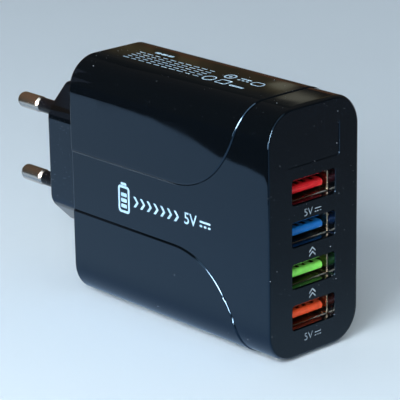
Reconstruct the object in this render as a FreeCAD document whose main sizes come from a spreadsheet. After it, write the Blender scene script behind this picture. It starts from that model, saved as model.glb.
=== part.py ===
import FreeCAD
import Part
import Sketcher
import os
import re

# A plug-in wall charger with four USB-A ports, in millimetres.
# It stands on its narrow bottom: the ports face -Y, the mains pins point to +Y, and +Z is up.

doc = FreeCAD.newDocument("wall_charger")
sheet = doc.addObject("Spreadsheet::Sheet", "dims")

# Driving dimensions: alias, value, meaning
DIMENSIONS = (
    ("body_width", 28.8, "housing across its two large sides"),
    ("body_height", 58.6, "housing from narrow bottom to narrow top"),
    ("body_length", 66.0, "housing from port face to rear face"),
    ("corner_radius", 8.0, "rounding of the four long edges"),
    ("front_edge_round", 0.9, "rounding round the port face"),
    ("rear_edge_round", 0.5, "rounding round the rear face"),
    ("side_wall", 2.0, "wall of the large and narrow sides"),
    ("front_wall", 2.0, "wall behind the port face"),
    ("rear_wall", 2.0, "wall that carries the boss"),
    ("strip_height", 14.6, "front housing's strip along each large side"),
    ("strip_drop", 0.28, "strip's middle below the housing's middle"),
    ("seam_setback", 8.3, "port face to the seam across top and bottom"),
    ("flare_radius", 20.0, "seam curve where it leaves the strip"),
    ("flare_angle", 50.0, "turn of the flare in degrees"),
    ("sweep_radius", 28.0, "seam curve up to the top and bottom"),
    ("seam_gap", 0.12, "open width of the seam"),
    ("seam_step", 0.2, "front housing's surface below the rear housing's"),
    ("seam_edge_round", 0.45, "rounding of the rear housing's edge at the seam"),
    ("lip_length", 1.6, "rear housing's lip under the front housing"),
    ("lip_clearance", 0.1, "between the lip and the wall over it"),
    ("boss_length", 18.0, "plug boss behind the rear face"),
    ("boss_thickness", 13.7, "boss across its flat sides"),
    ("boss_height", 35.3, "boss from end to end"),
    ("boss_slant", 6.1, "depth of the 45 degree slants of the boss"),
    ("boss_side_round", 4.5, "rounding between flat side and slant"),
    ("boss_tip_round", 1.6, "rounding between slant and end"),
    ("boss_end_round", 0.6, "rounding of the boss's end face"),
    ("boss_wall", 1.8, "wall of the hollow boss"),
    ("boss_end_wall", 4.0, "boss wall that holds the pins"),
    ("pin_diameter", 4.0, "bare pin"),
    ("pin_length", 18.6, "pin outside the boss"),
    ("pin_spacing", 19.0, "between the pins' axes"),
    ("pin_tip_round", 1.5, "rounding of the pin's tip"),
    ("pin_shoulder_bevel", 0.4, "depth of the bare pin's taper at its sleeve"),
    ("pin_shoulder_length", 0.9, "length of the bare pin's taper at its sleeve"),
    ("pin_core_diameter", 2.9, "pin inside its sleeve"),
    ("pin_shank_diameter", 4.4, "pin's shank in the boss wall"),
    ("pin_stub_diameter", 3.0, "pin's inner end"),
    ("pin_stub_length", 4.0, "pin's inner end behind the boss wall"),
    ("bore_clearance", 0.05, "pin in its bore, sleeve on its core"),
    ("sleeve_diameter", 3.66, "insulating sleeve"),
    ("sleeve_length", 10.0, "sleeve outside the boss"),
    ("sleeve_seat", 1.5, "sleeve inside the boss"),
    ("port_width", 12.9, "port hole in the front wall"),
    ("port_height", 5.4, "port hole in the front wall"),
    ("port_corner", 0.4, "corner rounding of the port hole"),
    ("port_bevel", 0.3, "bevel round the port hole"),
    ("port_pitch", 9.7, "from one port to the next"),
    ("window_width", 15.8, "blank window recess above the ports"),
    ("window_height", 7.8, "blank window recess"),
    ("window_depth", 0.2, "depth of the blank window recess"),
    ("window_bevel", 0.12, "bevel round the window recess"),
    ("window_corner", 0.5, "corner rounding of the window recess"),
    ("rib_thickness", 1.2, "ribs between the ports behind the front wall"),
    ("rib_depth", 3.8, "ribs behind the front wall"),
    ("rib_setback", 1.0, "ribs from the board's face"),
    ("shell_width", 13.1, "receptacle shell"),
    ("shell_height", 5.72, "receptacle shell"),
    ("shell_sheet", 0.3, "sheet of the receptacle shell"),
    ("shell_corner", 0.6, "corner bend of the receptacle shell"),
    ("shell_bevel", 0.15, "bevel inside the shell's mouth"),
    ("shell_length", 13.9, "receptacle shell"),
    ("shell_gap", 0.1, "shell behind the front wall"),
    ("leaf_window_width", 1.9, "opening for the shell's retaining leaf"),
    ("leaf_window_length", 5.2, "opening for the shell's retaining leaf"),
    ("leaf_window_spacing", 5.6, "between the two openings of one wall"),
    ("leaf_window_setback", 3.2, "openings behind the shell's mouth"),
    ("tongue_width", 11.1, "insulator's tongue"),
    ("tongue_thickness", 1.84, "insulator's tongue"),
    ("tongue_setback", 0.8, "tongue behind the shell's mouth"),
    ("tongue_drop", 0.78, "tongue's middle below the port's middle"),
    ("tongue_nose_round", 0.8, "rounding of the tongue's tip, above and below"),
    ("base_length", 4.2, "insulator's base in the rear of the shell"),
    ("base_clearance", 0.05, "base inside the shell, contact in its groove"),
    ("contact_width", 1.0, "spring contact on the tongue"),
    ("contact_sheet", 0.25, "spring contact on the tongue"),
    ("contact_inner", 2.0, "between the two middle contacts"),
    ("contact_outer", 7.0, "between the two outer contacts"),
    ("contact_setback", 1.0, "contacts behind the tongue's tip"),
    ("board_thickness", 1.6, "main circuit board"),
    ("board_front_gap", 0.5, "board behind the front wall"),
    ("board_rear_gap", 1.5, "board before the rear wall"),
    ("board_edge_gap", 0.5, "board's long edges from the housing"),
    ("rail_height", 2.4, "board rails on the top and bottom walls"),
    ("rail_width", 1.2, "board rails"),
    ("rail_length", 46.0, "board rails from the rear wall"),
    ("rail_clearance", 0.15, "board between its rails"),
    ("rail_gap", 0.2, "parts on the board from the crests of its rails"),
    ("blade_sheet", 0.4, "spring contact between pin and board"),
    ("blade_width", 4.0, "spring contact between pin and board"),
    ("blade_foot", 4.5, "foot of the spring contact on the board"),
    ("blade_rise", 4.6, "sloping part of the spring contact"),
    ("blade_setback", 6.0, "slope's start before the board's rear edge"),
    ("part_gap", 0.7, "between neighbours on the board"),
    ("core_width", 18.0, "transformer core along the housing"),
    ("core_height", 18.0, "transformer core along the winding"),
    ("core_thickness", 6.0, "transformer core"),
    ("core_leg", 2.8, "outer legs and yokes of the core"),
    ("core_middle", 4.6, "middle leg of the core"),
    ("core_lift", 6.5, "transformer core above the housing's bottom"),
    ("bobbin_wall", 0.8, "tube of the bobbin"),
    ("bobbin_flange", 1.0, "flanges of the bobbin"),
    ("bobbin_clearance", 0.15, "bobbin in the core, winding on the bobbin"),
    ("bobbin_depth", 12.6, "bobbin flanges away from the board"),
    ("bobbin_foot", 2.0, "feet of the bobbin on the board"),
    ("winding_build", 2.2, "winding on the bobbin's tube"),
    ("row_pitch", 9.6, "between the two columns of the middle row"),
    ("input_can", 9.0, "diameter of the input capacitors"),
    ("input_can_length", 16.0, "input capacitors"),
    ("output_can", 7.0, "diameter of the output capacitors"),
    ("output_can_length", 13.0, "output capacitors"),
    ("output_can_up", 11.0, "lower output capacitor above the bottom"),
    ("output_can_pitch", 8.0, "between the output capacitors"),
    ("can_crimp", 0.3, "crimp groove of the capacitors"),
    ("can_crimp_width", 0.9, "crimp groove of the capacitors"),
    ("can_round", 0.6, "rounded rim of the capacitors"),
    ("can_clearance", 0.1, "lying capacitors from the board"),
    ("rear_row_setback", 6.5, "fuse, choke and bridge before the board's rear edge"),
    ("choke_diameter", 8.0, "input choke's flanges"),
    ("choke_height", 9.0, "input choke"),
    ("choke_flange", 1.2, "input choke's flanges"),
    ("choke_winding", 0.5, "input choke's winding under its flanges"),
    ("fuse_diameter", 8.4, "fuse can"),
    ("fuse_height", 7.8, "fuse can"),
    ("disc_diameter", 8.0, "safety capacitor"),
    ("disc_thickness", 3.6, "safety capacitor"),
    ("disc_round", 1.2, "rounded rim of the safety capacitor"),
    ("bridge_length", 6.5, "bridge rectifier along the housing"),
    ("bridge_height", 8.5, "bridge rectifier"),
    ("bridge_thickness", 3.2, "bridge rectifier"),
    ("coupler_length", 6.5, "optocoupler along the housing"),
    ("coupler_height", 4.6, "optocoupler"),
    ("coupler_thickness", 3.5, "optocoupler"),
    ("rectifier_length", 6.1, "output rectifier along the housing"),
    ("rectifier_height", 6.6, "output rectifier"),
    ("rectifier_thickness", 2.4, "output rectifier"),
    ("rectifier_up", 27.5, "output rectifier above the bottom"),
    ("chip_length", 4.0, "small chips along the housing"),
    ("chip_height", 5.0, "small chips"),
    ("chip_thickness", 1.6, "small chips"),
    ("port_chip_up", 35.0, "lower port chip above the bottom"),
    ("port_chip_pitch", 6.5, "between the port chips"),
    ("chip_bevel", 0.3, "bevel of the moulded chips"),
)


def fill_sheet():
    """Write each driving dimension to its own row of the sheet, with its alias."""
    for row, (alias, value, meaning) in enumerate(DIMENSIONS, start=1):
        sheet.set(f"A{row}", alias)
        sheet.set(f"B{row}", str(value))
        sheet.set(f"C{row}", meaning)
        sheet.setAlias(f"B{row}", alias)
    doc.recompute()


ALIASES = {alias for alias, value, meaning in DIMENSIONS}

# Places used by many pieces, written in terms of the aliases
FRONT = "(-(body_length + boss_length + pin_length) / 2)"
REAR = f"({FRONT} + body_length)"
BOSS_END = f"({REAR} + boss_length)"
MIDDLE = "(body_height / 2)"
STRIP_MIDDLE = f"({MIDDLE} - strip_drop)"
LIP_FACE = "(side_wall / 2 + seam_step / 2)"
BOARD_FACE = "(-shell_width / 2)"
SHELL_MOUTH = f"({FRONT} + front_wall + shell_gap)"
SHELL_REAR = f"({SHELL_MOUTH} + shell_length)"
BOARD_REAR = f"({REAR} - rear_wall - board_rear_gap)"
BLADE_BEND = f"({BOARD_REAR} - blade_setback)"
OUTPUT_ROW = f"({SHELL_REAR} + part_gap + output_can / 2)"
REAR_ROW = f"({BOARD_REAR} - rear_row_setback)"
MIDDLE_ROW = f"(({OUTPUT_ROW} + output_can / 2 + {BLADE_BEND} - blade_foot) / 2)"
CORE_TOP = "(core_lift + core_height)"


def sized(text):
    """An expression in which each alias refers to its cell of the sheet."""
    return re.sub(r"[a-z_]+", lambda word: f"dims.{word[0]}" if word[0] in ALIASES else word[0], text)


def number(text):
    """The present value of an expression."""
    return float(sheet.evalExpression(sized(text)))


def bind(item, path, text):
    """Tie one property of an object to an expression."""
    item.setExpression(path, sized(text))


def place(item, across="0", along="0", up="0", turn=None):
    """Put an object at a place given by expressions, turned first if a rotation is given."""
    if turn is not None:
        item.Placement = FreeCAD.Placement(FreeCAD.Vector(0, 0, 0), turn)
    bind(item, "Placement.Base.x", across)
    bind(item, "Placement.Base.y", along)
    bind(item, "Placement.Base.z", up)


def floor_at(inset, across):
    """Height of the housing's lower surface, moved inwards, at a distance from its middle plane."""
    radius = f"(corner_radius - {inset})"
    reach = f"max(0; {across} - (body_width / 2 - corner_radius))"
    return f"({inset} + {radius} - sqrt({radius}^2 - {reach}^2))"


def behind(depth):
    """The place along Y that lies a given depth behind the port face."""
    return f"({FRONT} + {depth})"


# The outer side of the board's rails, and how far they and the parts beside them reach in
RAIL_EDGE = "(shell_width / 2 + board_thickness + rail_clearance + rail_width)"
RAIL_CREST = f"({floor_at('side_wall', RAIL_EDGE)} + rail_height)"
PARTS_EDGE = f"({RAIL_CREST} + rail_gap)"


# Sketch helpers

def new_body(label):
    """An empty body whose label is also the name of its node."""
    body = doc.addObject("PartDesign::Body", label)
    body.Label = label
    return body


def new_sketch(body, name, plane, offset="0"):
    """A sketch on one of the body's origin planes, moved along the plane's normal."""
    sketch = body.newObject("Sketcher::SketchObject", name)
    support = next(item for item in body.Origin.OriginFeatures if item.Role == plane)
    sketch.AttachmentSupport = [(support, "")]
    sketch.MapMode = "FlatFace"
    bind(sketch, "AttachmentOffset.Base.z", offset)
    return sketch


def cross_sketch(body, name, along):
    """A sketch across the housing at a place along Y, with X to the right and Z up."""
    return new_sketch(body, name, "XZ_Plane", f"-({along})")


def tie_point(sketch, geometry, end, across, up):
    """Fix one end of a line or arc at a place given by two expressions."""
    for kind, text in (("DistanceX", across), ("DistanceY", up)):
        rule = Sketcher.Constraint(kind, -1, 1, geometry, end, number(text))
        index = sketch.addConstraint(rule)
        bind(sketch, f"Constraints[{index}]", text)


def arc_between(start, finish, radius, turn):
    """An anticlockwise arc between two points, bulging to the side that the turn gives."""
    chord = finish - start
    middle = (start + finish) * 0.5
    left = FreeCAD.Vector(-chord.y, chord.x, 0).normalize()
    height = max(radius ** 2 - chord.Length ** 2 / 4, 0) ** 0.5
    centre = middle + left * height * turn
    crown = centre - left * radius * turn
    if turn > 0:
        return Part.Arc(start, crown, finish)
    return Part.Arc(finish, crown, start)


def closed_outline(sketch, corners):
    """A closed outline. A corner is (across, up), or (across, up, radius, turn) before an arc."""
    spots = [FreeCAD.Vector(number(corner[0]), number(corner[1]), 0) for corner in corners]
    pieces = []
    for index, corner in enumerate(corners):
        here = spots[index]
        there = spots[(index + 1) % len(corners)]
        if len(corner) == 2:
            geometry = sketch.addGeometry(Part.LineSegment(here, there))
            pieces.append((geometry, 1, 2))
            continue
        across, up, radius, turn = corner
        geometry = sketch.addGeometry(arc_between(here, there, number(radius), turn))
        pieces.append((geometry, 1, 2) if turn > 0 else (geometry, 2, 1))
    for index, (geometry, start, finish) in enumerate(pieces):
        following = pieces[(index + 1) % len(pieces)]
        sketch.addConstraint(Sketcher.Constraint("Coincident", geometry, finish, following[0], following[1]))
    for (geometry, start, finish), corner in zip(pieces, corners):
        tie_point(sketch, geometry, start, corner[0], corner[1])
        if len(corner) == 4:
            rule = sketch.addConstraint(Sketcher.Constraint("Radius", geometry, number(corner[2])))
            bind(sketch, f"Constraints[{rule}]", corner[2])


def circle(sketch, across, up, radius):
    """A circle with its centre and radius tied to expressions."""
    middle = FreeCAD.Vector(number(across), number(up), 0)
    shape = Part.Circle(middle, FreeCAD.Vector(0, 0, 1), number(radius))
    geometry = sketch.addGeometry(shape)
    tie_point(sketch, geometry, 3, across, up)
    rule = sketch.addConstraint(Sketcher.Constraint("Radius", geometry, number(radius)))
    bind(sketch, f"Constraints[{rule}]", radius)


def rectangle(left, bottom, right, top):
    """Corners of a rectangle between two opposite corners."""
    return [(left, bottom), (right, bottom), (right, top), (left, top)]


def round_rectangle(width, height, radius, across="0", up="0"):
    """Corners of a rectangle about a middle, with four rounded corners."""
    left = f"{across} - ({width}) / 2"
    right = f"{across} + ({width}) / 2"
    bottom = f"{up} - ({height}) / 2"
    top = f"{up} + ({height}) / 2"
    return [
        (f"{left} + {radius}", bottom),
        (f"{right} - ({radius})", bottom, radius, 1),
        (right, f"{bottom} + {radius}"),
        (right, f"{top} - ({radius})", radius, 1),
        (f"{right} - ({radius})", top),
        (f"{left} + {radius}", top, radius, 1),
        (left, f"{top} - ({radius})"),
        (left, f"{bottom} + {radius}", radius, 1),
    ]


# Feature helpers

def pad(body, sketch, length, reverse=False, symmetric=False):
    """Add a sketch's outline as a solid of the given length."""
    feature = body.newObject("PartDesign::Pad", f"{sketch.Name}_pad")
    feature.Profile = sketch
    feature.Reversed = reverse
    if symmetric:
        feature.SideType = "Symmetric"
    bind(feature, "Length", length)
    doc.recompute()
    return feature


def pocket(body, sketch, length, reverse=False, symmetric=False):
    """Cut a sketch's outline out of the body, and make sure that it cuts."""
    before = body.Tip.Shape.Volume
    feature = body.newObject("PartDesign::Pocket", f"{sketch.Name}_cut")
    feature.Profile = sketch
    feature.Reversed = reverse
    if symmetric:
        feature.SideType = "Symmetric"
    bind(feature, "Length", length)
    doc.recompute()
    if not feature.Shape.Volume < before:
        raise RuntimeError(f"{feature.Name} cuts nothing")
    return feature


def revolve(body, sketch):
    """Turn a sketch's outline once round its own vertical axis."""
    feature = body.newObject("PartDesign::Revolution", f"{sketch.Name}_turn")
    feature.Profile = sketch
    feature.ReferenceAxis = (sketch, ["V_Axis"])
    feature.Angle = 360
    doc.recompute()
    return feature


def dress(body, kind, name, size, chosen):
    """Round or bevel the edges of the body that a test chooses."""
    base = body.Tip
    names = [f"Edge{index}" for index, edge in enumerate(base.Shape.Edges, start=1) if chosen(edge)]
    if not names:
        raise RuntimeError(f"{name} finds no edge")
    feature = body.newObject(f"PartDesign::{kind}", name)
    feature.Base = (base, names)
    bind(feature, "Radius" if kind == "Fillet" else "Size", size)
    doc.recompute()
    return feature


TOUCH = 1e-4


def samples(edge):
    """Points along an edge, ends included."""
    first, last = edge.ParameterRange
    return [edge.valueAt(first + (last - first) * step / 4) for step in range(5)]


def lies_at(edge, along):
    """Whether an edge lies in the plane across the housing at a place along Y."""
    return all(abs(point.y - number(along)) < TOUCH for point in samples(edge))


def runs_along(edge):
    """Whether an edge is straight and runs along Y."""
    points = samples(edge)
    return all(abs(point.x - points[0].x) + abs(point.z - points[0].z) < TOUCH for point in points)


def off_outline(point):
    """Distance of a point from the housing's outer outline, seen along Y."""
    radius = number("corner_radius")
    reach = FreeCAD.Vector(
        abs(point.x) - (number("body_width") / 2 - radius),
        abs(point.z - number(MIDDLE)) - (number("body_height") / 2 - radius),
        0)
    inside = min(max(reach.x, reach.y), 0)
    outside = FreeCAD.Vector(max(reach.x, 0), max(reach.y, 0), 0).Length
    return abs(outside + inside - radius)


def on_outline(edge):
    """Whether an edge lies on the housing's outer surface."""
    return all(off_outline(point) < 1e-3 for point in samples(edge))


def seam_edge(edge):
    """Whether an edge is where the seam's cut meets the housing's outer surface."""
    if not on_outline(edge) or lies_at(edge, FRONT) or lies_at(edge, REAR):
        return False
    if not runs_along(edge):
        points = samples(edge)
        return max(point.y for point in points) < number(REAR) - number("rear_edge_round") - TOUCH
    height = abs(samples(edge)[0].z - number(STRIP_MIDDLE))
    return height < number("strip_height") / 2 + TOUCH


# The housing's outline and its seam

def body_outline(inset="0"):
    """The housing's outline seen along Y, moved inwards."""
    return round_rectangle(
        f"(body_width - 2 * ({inset}))", f"(body_height - 2 * ({inset}))",
        f"(corner_radius - ({inset}))", up=MIDDLE)


def seam_curve(inset, side):
    """The seam from the strip to the top (side 1) or bottom (side -1), moved into the front housing."""
    reach = "(sweep_radius - flare_radius)"
    flare_depth = f"(seam_setback + sweep_radius - {reach} * sin(flare_angle))"
    flare_up = "(strip_height / 2 + flare_radius)"
    flare = f"(flare_radius + {inset})"
    sweep = f"(sweep_radius + {inset})"
    spots = [
        (flare_depth, f"strip_height / 2 - {inset}"),
        (f"{flare_depth} - {flare} * sin(flare_angle)", f"{flare_up} - {flare} * cos(flare_angle)"),
        (f"seam_setback - {inset}", f"{flare_up} + {reach} * cos(flare_angle)"),
        (f"seam_setback - {inset}", "body_height"),
    ]
    arcs = (flare, sweep, None, None)
    places = [(behind(depth), f"{STRIP_MIDDLE} + ({side}) * ({up})") for depth, up in spots]
    return places, arcs


def seam_opening(sketch, inset, rear):
    """The front housing's region seen along X: the front band and the strip behind it."""
    top, arcs = seam_curve(inset, 1)
    bottom, arcs = seam_curve(inset, -1)
    strip_top = (rear, f"{STRIP_MIDDLE} + strip_height / 2 - {inset}")
    strip_bottom = (rear, f"{STRIP_MIDDLE} - strip_height / 2 + {inset}")
    ahead = behind("(-front_wall)")
    closed_outline(sketch, [
        strip_top,
        (*top[0], arcs[0], -1),
        (*top[1], arcs[1], -1),
        top[2],
        top[3],
        (ahead, top[3][1]),
        (ahead, bottom[3][1]),
        bottom[3],
        (*bottom[2], arcs[1], -1),
        (*bottom[1], arcs[0], -1),
        bottom[0],
        strip_bottom,
    ])


def seam_wing(sketch, inset, side):
    """The rear housing's region on one side of the strip, seen along X."""
    curve, arcs = seam_curve(inset, side)
    past = f"({REAR} + rear_wall)"
    closed_outline(sketch, [
        (past, curve[0][1]),
        (*curve[0], arcs[0], -side),
        (*curve[1], arcs[1], -side),
        curve[2],
        curve[3],
        (past, curve[3][1]),
    ])


# The rear housing: wings, rear wall and hollow boss

def boss_section(inset):
    """The flat plug boss seen along Y, moved inwards."""
    side = f"(boss_thickness / 2 - {inset})"
    slant_start = f"(boss_height / 2 - boss_slant - {inset} * tan(22.5))"
    end = f"(boss_height / 2 - {inset})"
    tip = f"(boss_thickness / 2 - boss_slant - {inset} * tan(22.5))"
    quarter = [(side, slant_start), (tip, end)]
    upper = quarter + [(f"-{across}", up) for across, up in reversed(quarter)]
    lower = [(f"-{across}", f"-{up}") for across, up in upper]
    return [(across, f"{MIDDLE} + ({up})") for across, up in upper + lower]


def boss_edge(edge, across):
    """Whether an edge is a long edge of the boss at a distance from its middle plane."""
    point = edge.CenterOfMass
    return runs_along(edge) and point.y > number(REAR) and abs(abs(point.x) - number(across)) < TOUCH


def port_up(index):
    """Height of a port: the third of five equal places is the middle of the face."""
    return f"({MIDDLE} + {1 - index} * port_pitch)"


def make_rear_housing():
    """Wings, rear wall, boss and board rails, with a lip that goes under the front housing."""
    body = new_body("rear_moulding")
    sketch = cross_sketch(body, "rear_outline", REAR)
    closed_outline(sketch, body_outline())
    pad(body, sketch, "body_length")
    dress(body, "Fillet", "rear_rounding", "rear_edge_round", lambda edge: lies_at(edge, REAR))
    sketch = cross_sketch(body, "boss_outline", REAR)
    closed_outline(sketch, boss_section("0"))
    pad(body, sketch, "boss_length", reverse=True)
    dress(body, "Fillet", "boss_sides", "boss_side_round",
          lambda edge: boss_edge(edge, "boss_thickness / 2"))
    dress(body, "Fillet", "boss_tips", "boss_tip_round",
          lambda edge: boss_edge(edge, "boss_thickness / 2 - boss_slant"))
    dress(body, "Fillet", "boss_rim", "boss_end_round", lambda edge: lies_at(edge, BOSS_END))
    inner = f"({REAR} - rear_wall)"
    sketch = cross_sketch(body, "rear_cavity", inner)
    closed_outline(sketch, body_outline("side_wall"))
    pocket(body, sketch, "body_length", reverse=True)
    sketch = cross_sketch(body, "boss_cavity", inner)
    closed_outline(sketch, boss_section("boss_wall"))
    pocket(body, sketch, "rear_wall + boss_length - boss_end_wall")
    sketch = cross_sketch(body, "pin_bores", BOSS_END)
    for side in (1, -1):
        circle(sketch, "0", f"{MIDDLE} + {side} * pin_spacing / 2", "pin_diameter / 2 + bore_clearance")
    pocket(body, sketch, "boss_length", reverse=True)
    sketch = cross_sketch(body, "shank_seats", f"({BOSS_END} - boss_end_wall)")
    for side in (1, -1):
        circle(sketch, "0", f"{MIDDLE} + {side} * pin_spacing / 2", "pin_shank_diameter / 2 + bore_clearance")
    pocket(body, sketch, "boss_end_wall - sleeve_seat")
    sketch = cross_sketch(body, "board_rails", inner)
    foot = floor_at("side_wall / 2", RAIL_EDGE)
    for left in (f"-{RAIL_EDGE}", f"{BOARD_FACE} + rail_clearance"):
        right = f"{left} + rail_width"
        closed_outline(sketch, rectangle(left, foot, right, RAIL_CREST))
        closed_outline(sketch, rectangle(
            left, f"body_height - {RAIL_CREST}", right, f"body_height - {foot}"))
    pad(body, sketch, "rail_length")
    sketch = new_sketch(body, "seam_opening", "YZ_Plane")
    seam_opening(sketch, "0", inner)
    pocket(body, sketch, "2 * body_width", symmetric=True)
    sketch = cross_sketch(body, "strip_notches", REAR)
    for side in (1, -1):
        near = f"{side} * (body_width / 2 - side_wall)"
        far = f"{side} * (body_width / 2 + side_wall)"
        closed_outline(sketch, rectangle(
            near, f"{STRIP_MIDDLE} - strip_height / 2", far, f"{STRIP_MIDDLE} + strip_height / 2"))
    pocket(body, sketch, "rear_wall", reverse=True)
    dress(body, "Fillet", "rear_seam_rounding", "seam_edge_round", seam_edge)

    lip = new_body("rear_lip")
    root = f"({REAR} - rear_wall / 2)"
    sketch = cross_sketch(lip, "lip_outline", root)
    closed_outline(sketch, body_outline(f"{LIP_FACE} + lip_clearance"))
    pad(lip, sketch, "body_length - rear_wall / 2 - front_wall")
    sketch = cross_sketch(lip, "lip_cavity", root)
    closed_outline(sketch, body_outline("side_wall"))
    pocket(lip, sketch, "body_length", reverse=True)
    sketch = new_sketch(lip, "lip_opening", "YZ_Plane")
    seam_opening(sketch, "lip_length", REAR)
    pocket(lip, sketch, "2 * body_width", symmetric=True)

    housing = doc.addObject("Part::Fuse", "rear_housing")
    housing.Base = body
    housing.Tool = lip
    housing.Refine = True
    doc.recompute()
    return housing


# The front housing: port face, front band and the two strips

def window_edge(edge):
    """Whether an edge is the outer edge of the window recess."""
    middle = edge.CenterOfMass
    across = abs(middle.x) < number("window_width / 2") + TOUCH
    up = abs(middle.z - number(port_up(-1))) < number("window_height / 2") + TOUCH
    return lies_at(edge, FRONT) and across and up


def make_front_housing():
    """Port face with its holes, window recess and ribs, and the strips that run back to the rear face."""
    body = new_body("front_moulding")
    sketch = cross_sketch(body, "front_outline", FRONT)
    closed_outline(sketch, body_outline("seam_step"))
    pad(body, sketch, "body_length", reverse=True)
    dress(body, "Fillet", "front_rounding", "front_edge_round", lambda edge: lies_at(edge, FRONT))
    dress(body, "Fillet", "strip_end_rounding", "rear_edge_round", lambda edge: lies_at(edge, REAR))
    inner = behind("front_wall")
    sketch = cross_sketch(body, "front_cavity", inner)
    closed_outline(sketch, body_outline("side_wall"))
    pocket(body, sketch, "body_length")
    sketch = cross_sketch(body, "port_holes", FRONT)
    for index in range(4):
        closed_outline(sketch, round_rectangle("port_width", "port_height", "port_corner", up=port_up(index)))
    pocket(body, sketch, "front_wall")
    dress(body, "Chamfer", "port_bevels", "port_bevel",
          lambda edge: lies_at(edge, FRONT) and abs(edge.CenterOfMass.x) < number("port_width"))
    sketch = cross_sketch(body, "window_recess", FRONT)
    closed_outline(sketch, round_rectangle("window_width", "window_height", "window_corner", up=port_up(-1)))
    pocket(body, sketch, "window_depth")
    dress(body, "Chamfer", "window_bevels", "window_bevel", window_edge)
    sketch = cross_sketch(body, "port_ribs", inner)
    for index in range(4):
        middle = f"{port_up(index)} + port_pitch / 2"
        closed_outline(sketch, rectangle(
            f"{BOARD_FACE} + rib_setback", f"{middle} - rib_thickness / 2",
            "body_width / 2 - side_wall / 2", f"{middle} + rib_thickness / 2"))
    pad(body, sketch, "rib_depth", reverse=True)
    sketch = new_sketch(body, "wings", "YZ_Plane")
    for side in (1, -1):
        seam_wing(sketch, "seam_gap", side)
    pocket(body, sketch, "2 * body_width", symmetric=True)

    relief = new_body("lip_relief")
    sketch = cross_sketch(relief, "relief_outline", inner)
    closed_outline(sketch, body_outline(LIP_FACE))
    pad(relief, sketch, "body_length", reverse=True)
    sketch = new_sketch(relief, "relief_opening", "YZ_Plane")
    seam_opening(sketch, "(lip_length + seam_gap)", f"({REAR} + 2 * rear_wall)")
    pocket(relief, sketch, "2 * body_width", symmetric=True)

    housing = doc.addObject("Part::Cut", "front_housing")
    housing.Base = body
    housing.Tool = relief
    housing.Refine = True
    doc.recompute()
    return housing


# Mains pins, their sleeves and the spring contacts inside

def make_pin(name, side):
    """A turned pin: stub, shank in the boss wall, thin core, bare contact end; and the sleeve on its core."""
    up = f"{MIDDLE} + {side} * pin_spacing / 2"
    bare = "pin_diameter / 2"
    shank = "pin_shank_diameter / 2"
    core = "pin_core_diameter / 2"
    stub = "pin_stub_diameter / 2"
    stub_end = "-(boss_end_wall + pin_stub_length)"
    pin = new_body(name)
    sketch = new_sketch(pin, f"{name}_profile", "XY_Plane")
    closed_outline(sketch, [
        ("0", stub_end),
        (stub, stub_end),
        (stub, "-boss_end_wall"),
        (shank, "-boss_end_wall"),
        (shank, "-sleeve_seat"),
        (core, "-sleeve_seat"),
        (core, "sleeve_length"),
        (f"{bare} - pin_shoulder_bevel", "sleeve_length"),
        (bare, "sleeve_length + pin_shoulder_length"),
        (bare, "pin_length - pin_tip_round", "pin_tip_round", 1),
        (f"{bare} - pin_tip_round", "pin_length"),
        ("0", "pin_length"),
    ])
    revolve(pin, sketch)
    place(pin, along=BOSS_END, up=up)
    sleeve = new_body(f"{name}_sleeve")
    sketch = new_sketch(sleeve, f"{name}_sleeve_profile", "XY_Plane")
    closed_outline(sketch, rectangle(
        f"{core} + bore_clearance", "-sleeve_seat", "sleeve_diameter / 2", "sleeve_length"))
    revolve(sleeve, sketch)
    place(sleeve, along=BOSS_END, up=up)
    return [pin, sleeve]


def make_blade(name, side):
    """A bent spring strip that leads from the pin's stub to a foot on the board."""
    blade = new_body(name)
    sketch = new_sketch(blade, f"{name}_profile", "XY_Plane")
    low = BOARD_FACE
    high = "-(pin_stub_diameter / 2 + bore_clearance + blade_sheet)"
    tail = f"({BOSS_END} - boss_end_wall - bore_clearance)"
    path = [
        (low, f"{BLADE_BEND} - blade_foot"),
        (low, BLADE_BEND),
        (high, f"{BLADE_BEND} + blade_rise"),
        (high, tail),
    ]
    back = [(f"{across} + blade_sheet", along) for across, along in reversed(path)]
    closed_outline(sketch, path + back)
    pad(blade, sketch, "blade_width", symmetric=True)
    place(blade, up=f"{MIDDLE} + {side} * pin_spacing / 2")
    return blade


# USB receptacles: folded shell, insulator with its tongue, and contacts

CONTACT_PLACES = ("-contact_outer / 2", "-contact_inner / 2", "contact_inner / 2", "contact_outer / 2")


def shell_mouth_edge(edge):
    """Whether an edge is the inner edge of a shell's mouth."""
    width = number("(shell_width - shell_sheet) / 2")
    height = number("(shell_height - shell_sheet) / 2")
    inside = all(abs(point.x) < width and abs(point.z) < height for point in samples(edge))
    return lies_at(edge, "0") and inside


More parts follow.
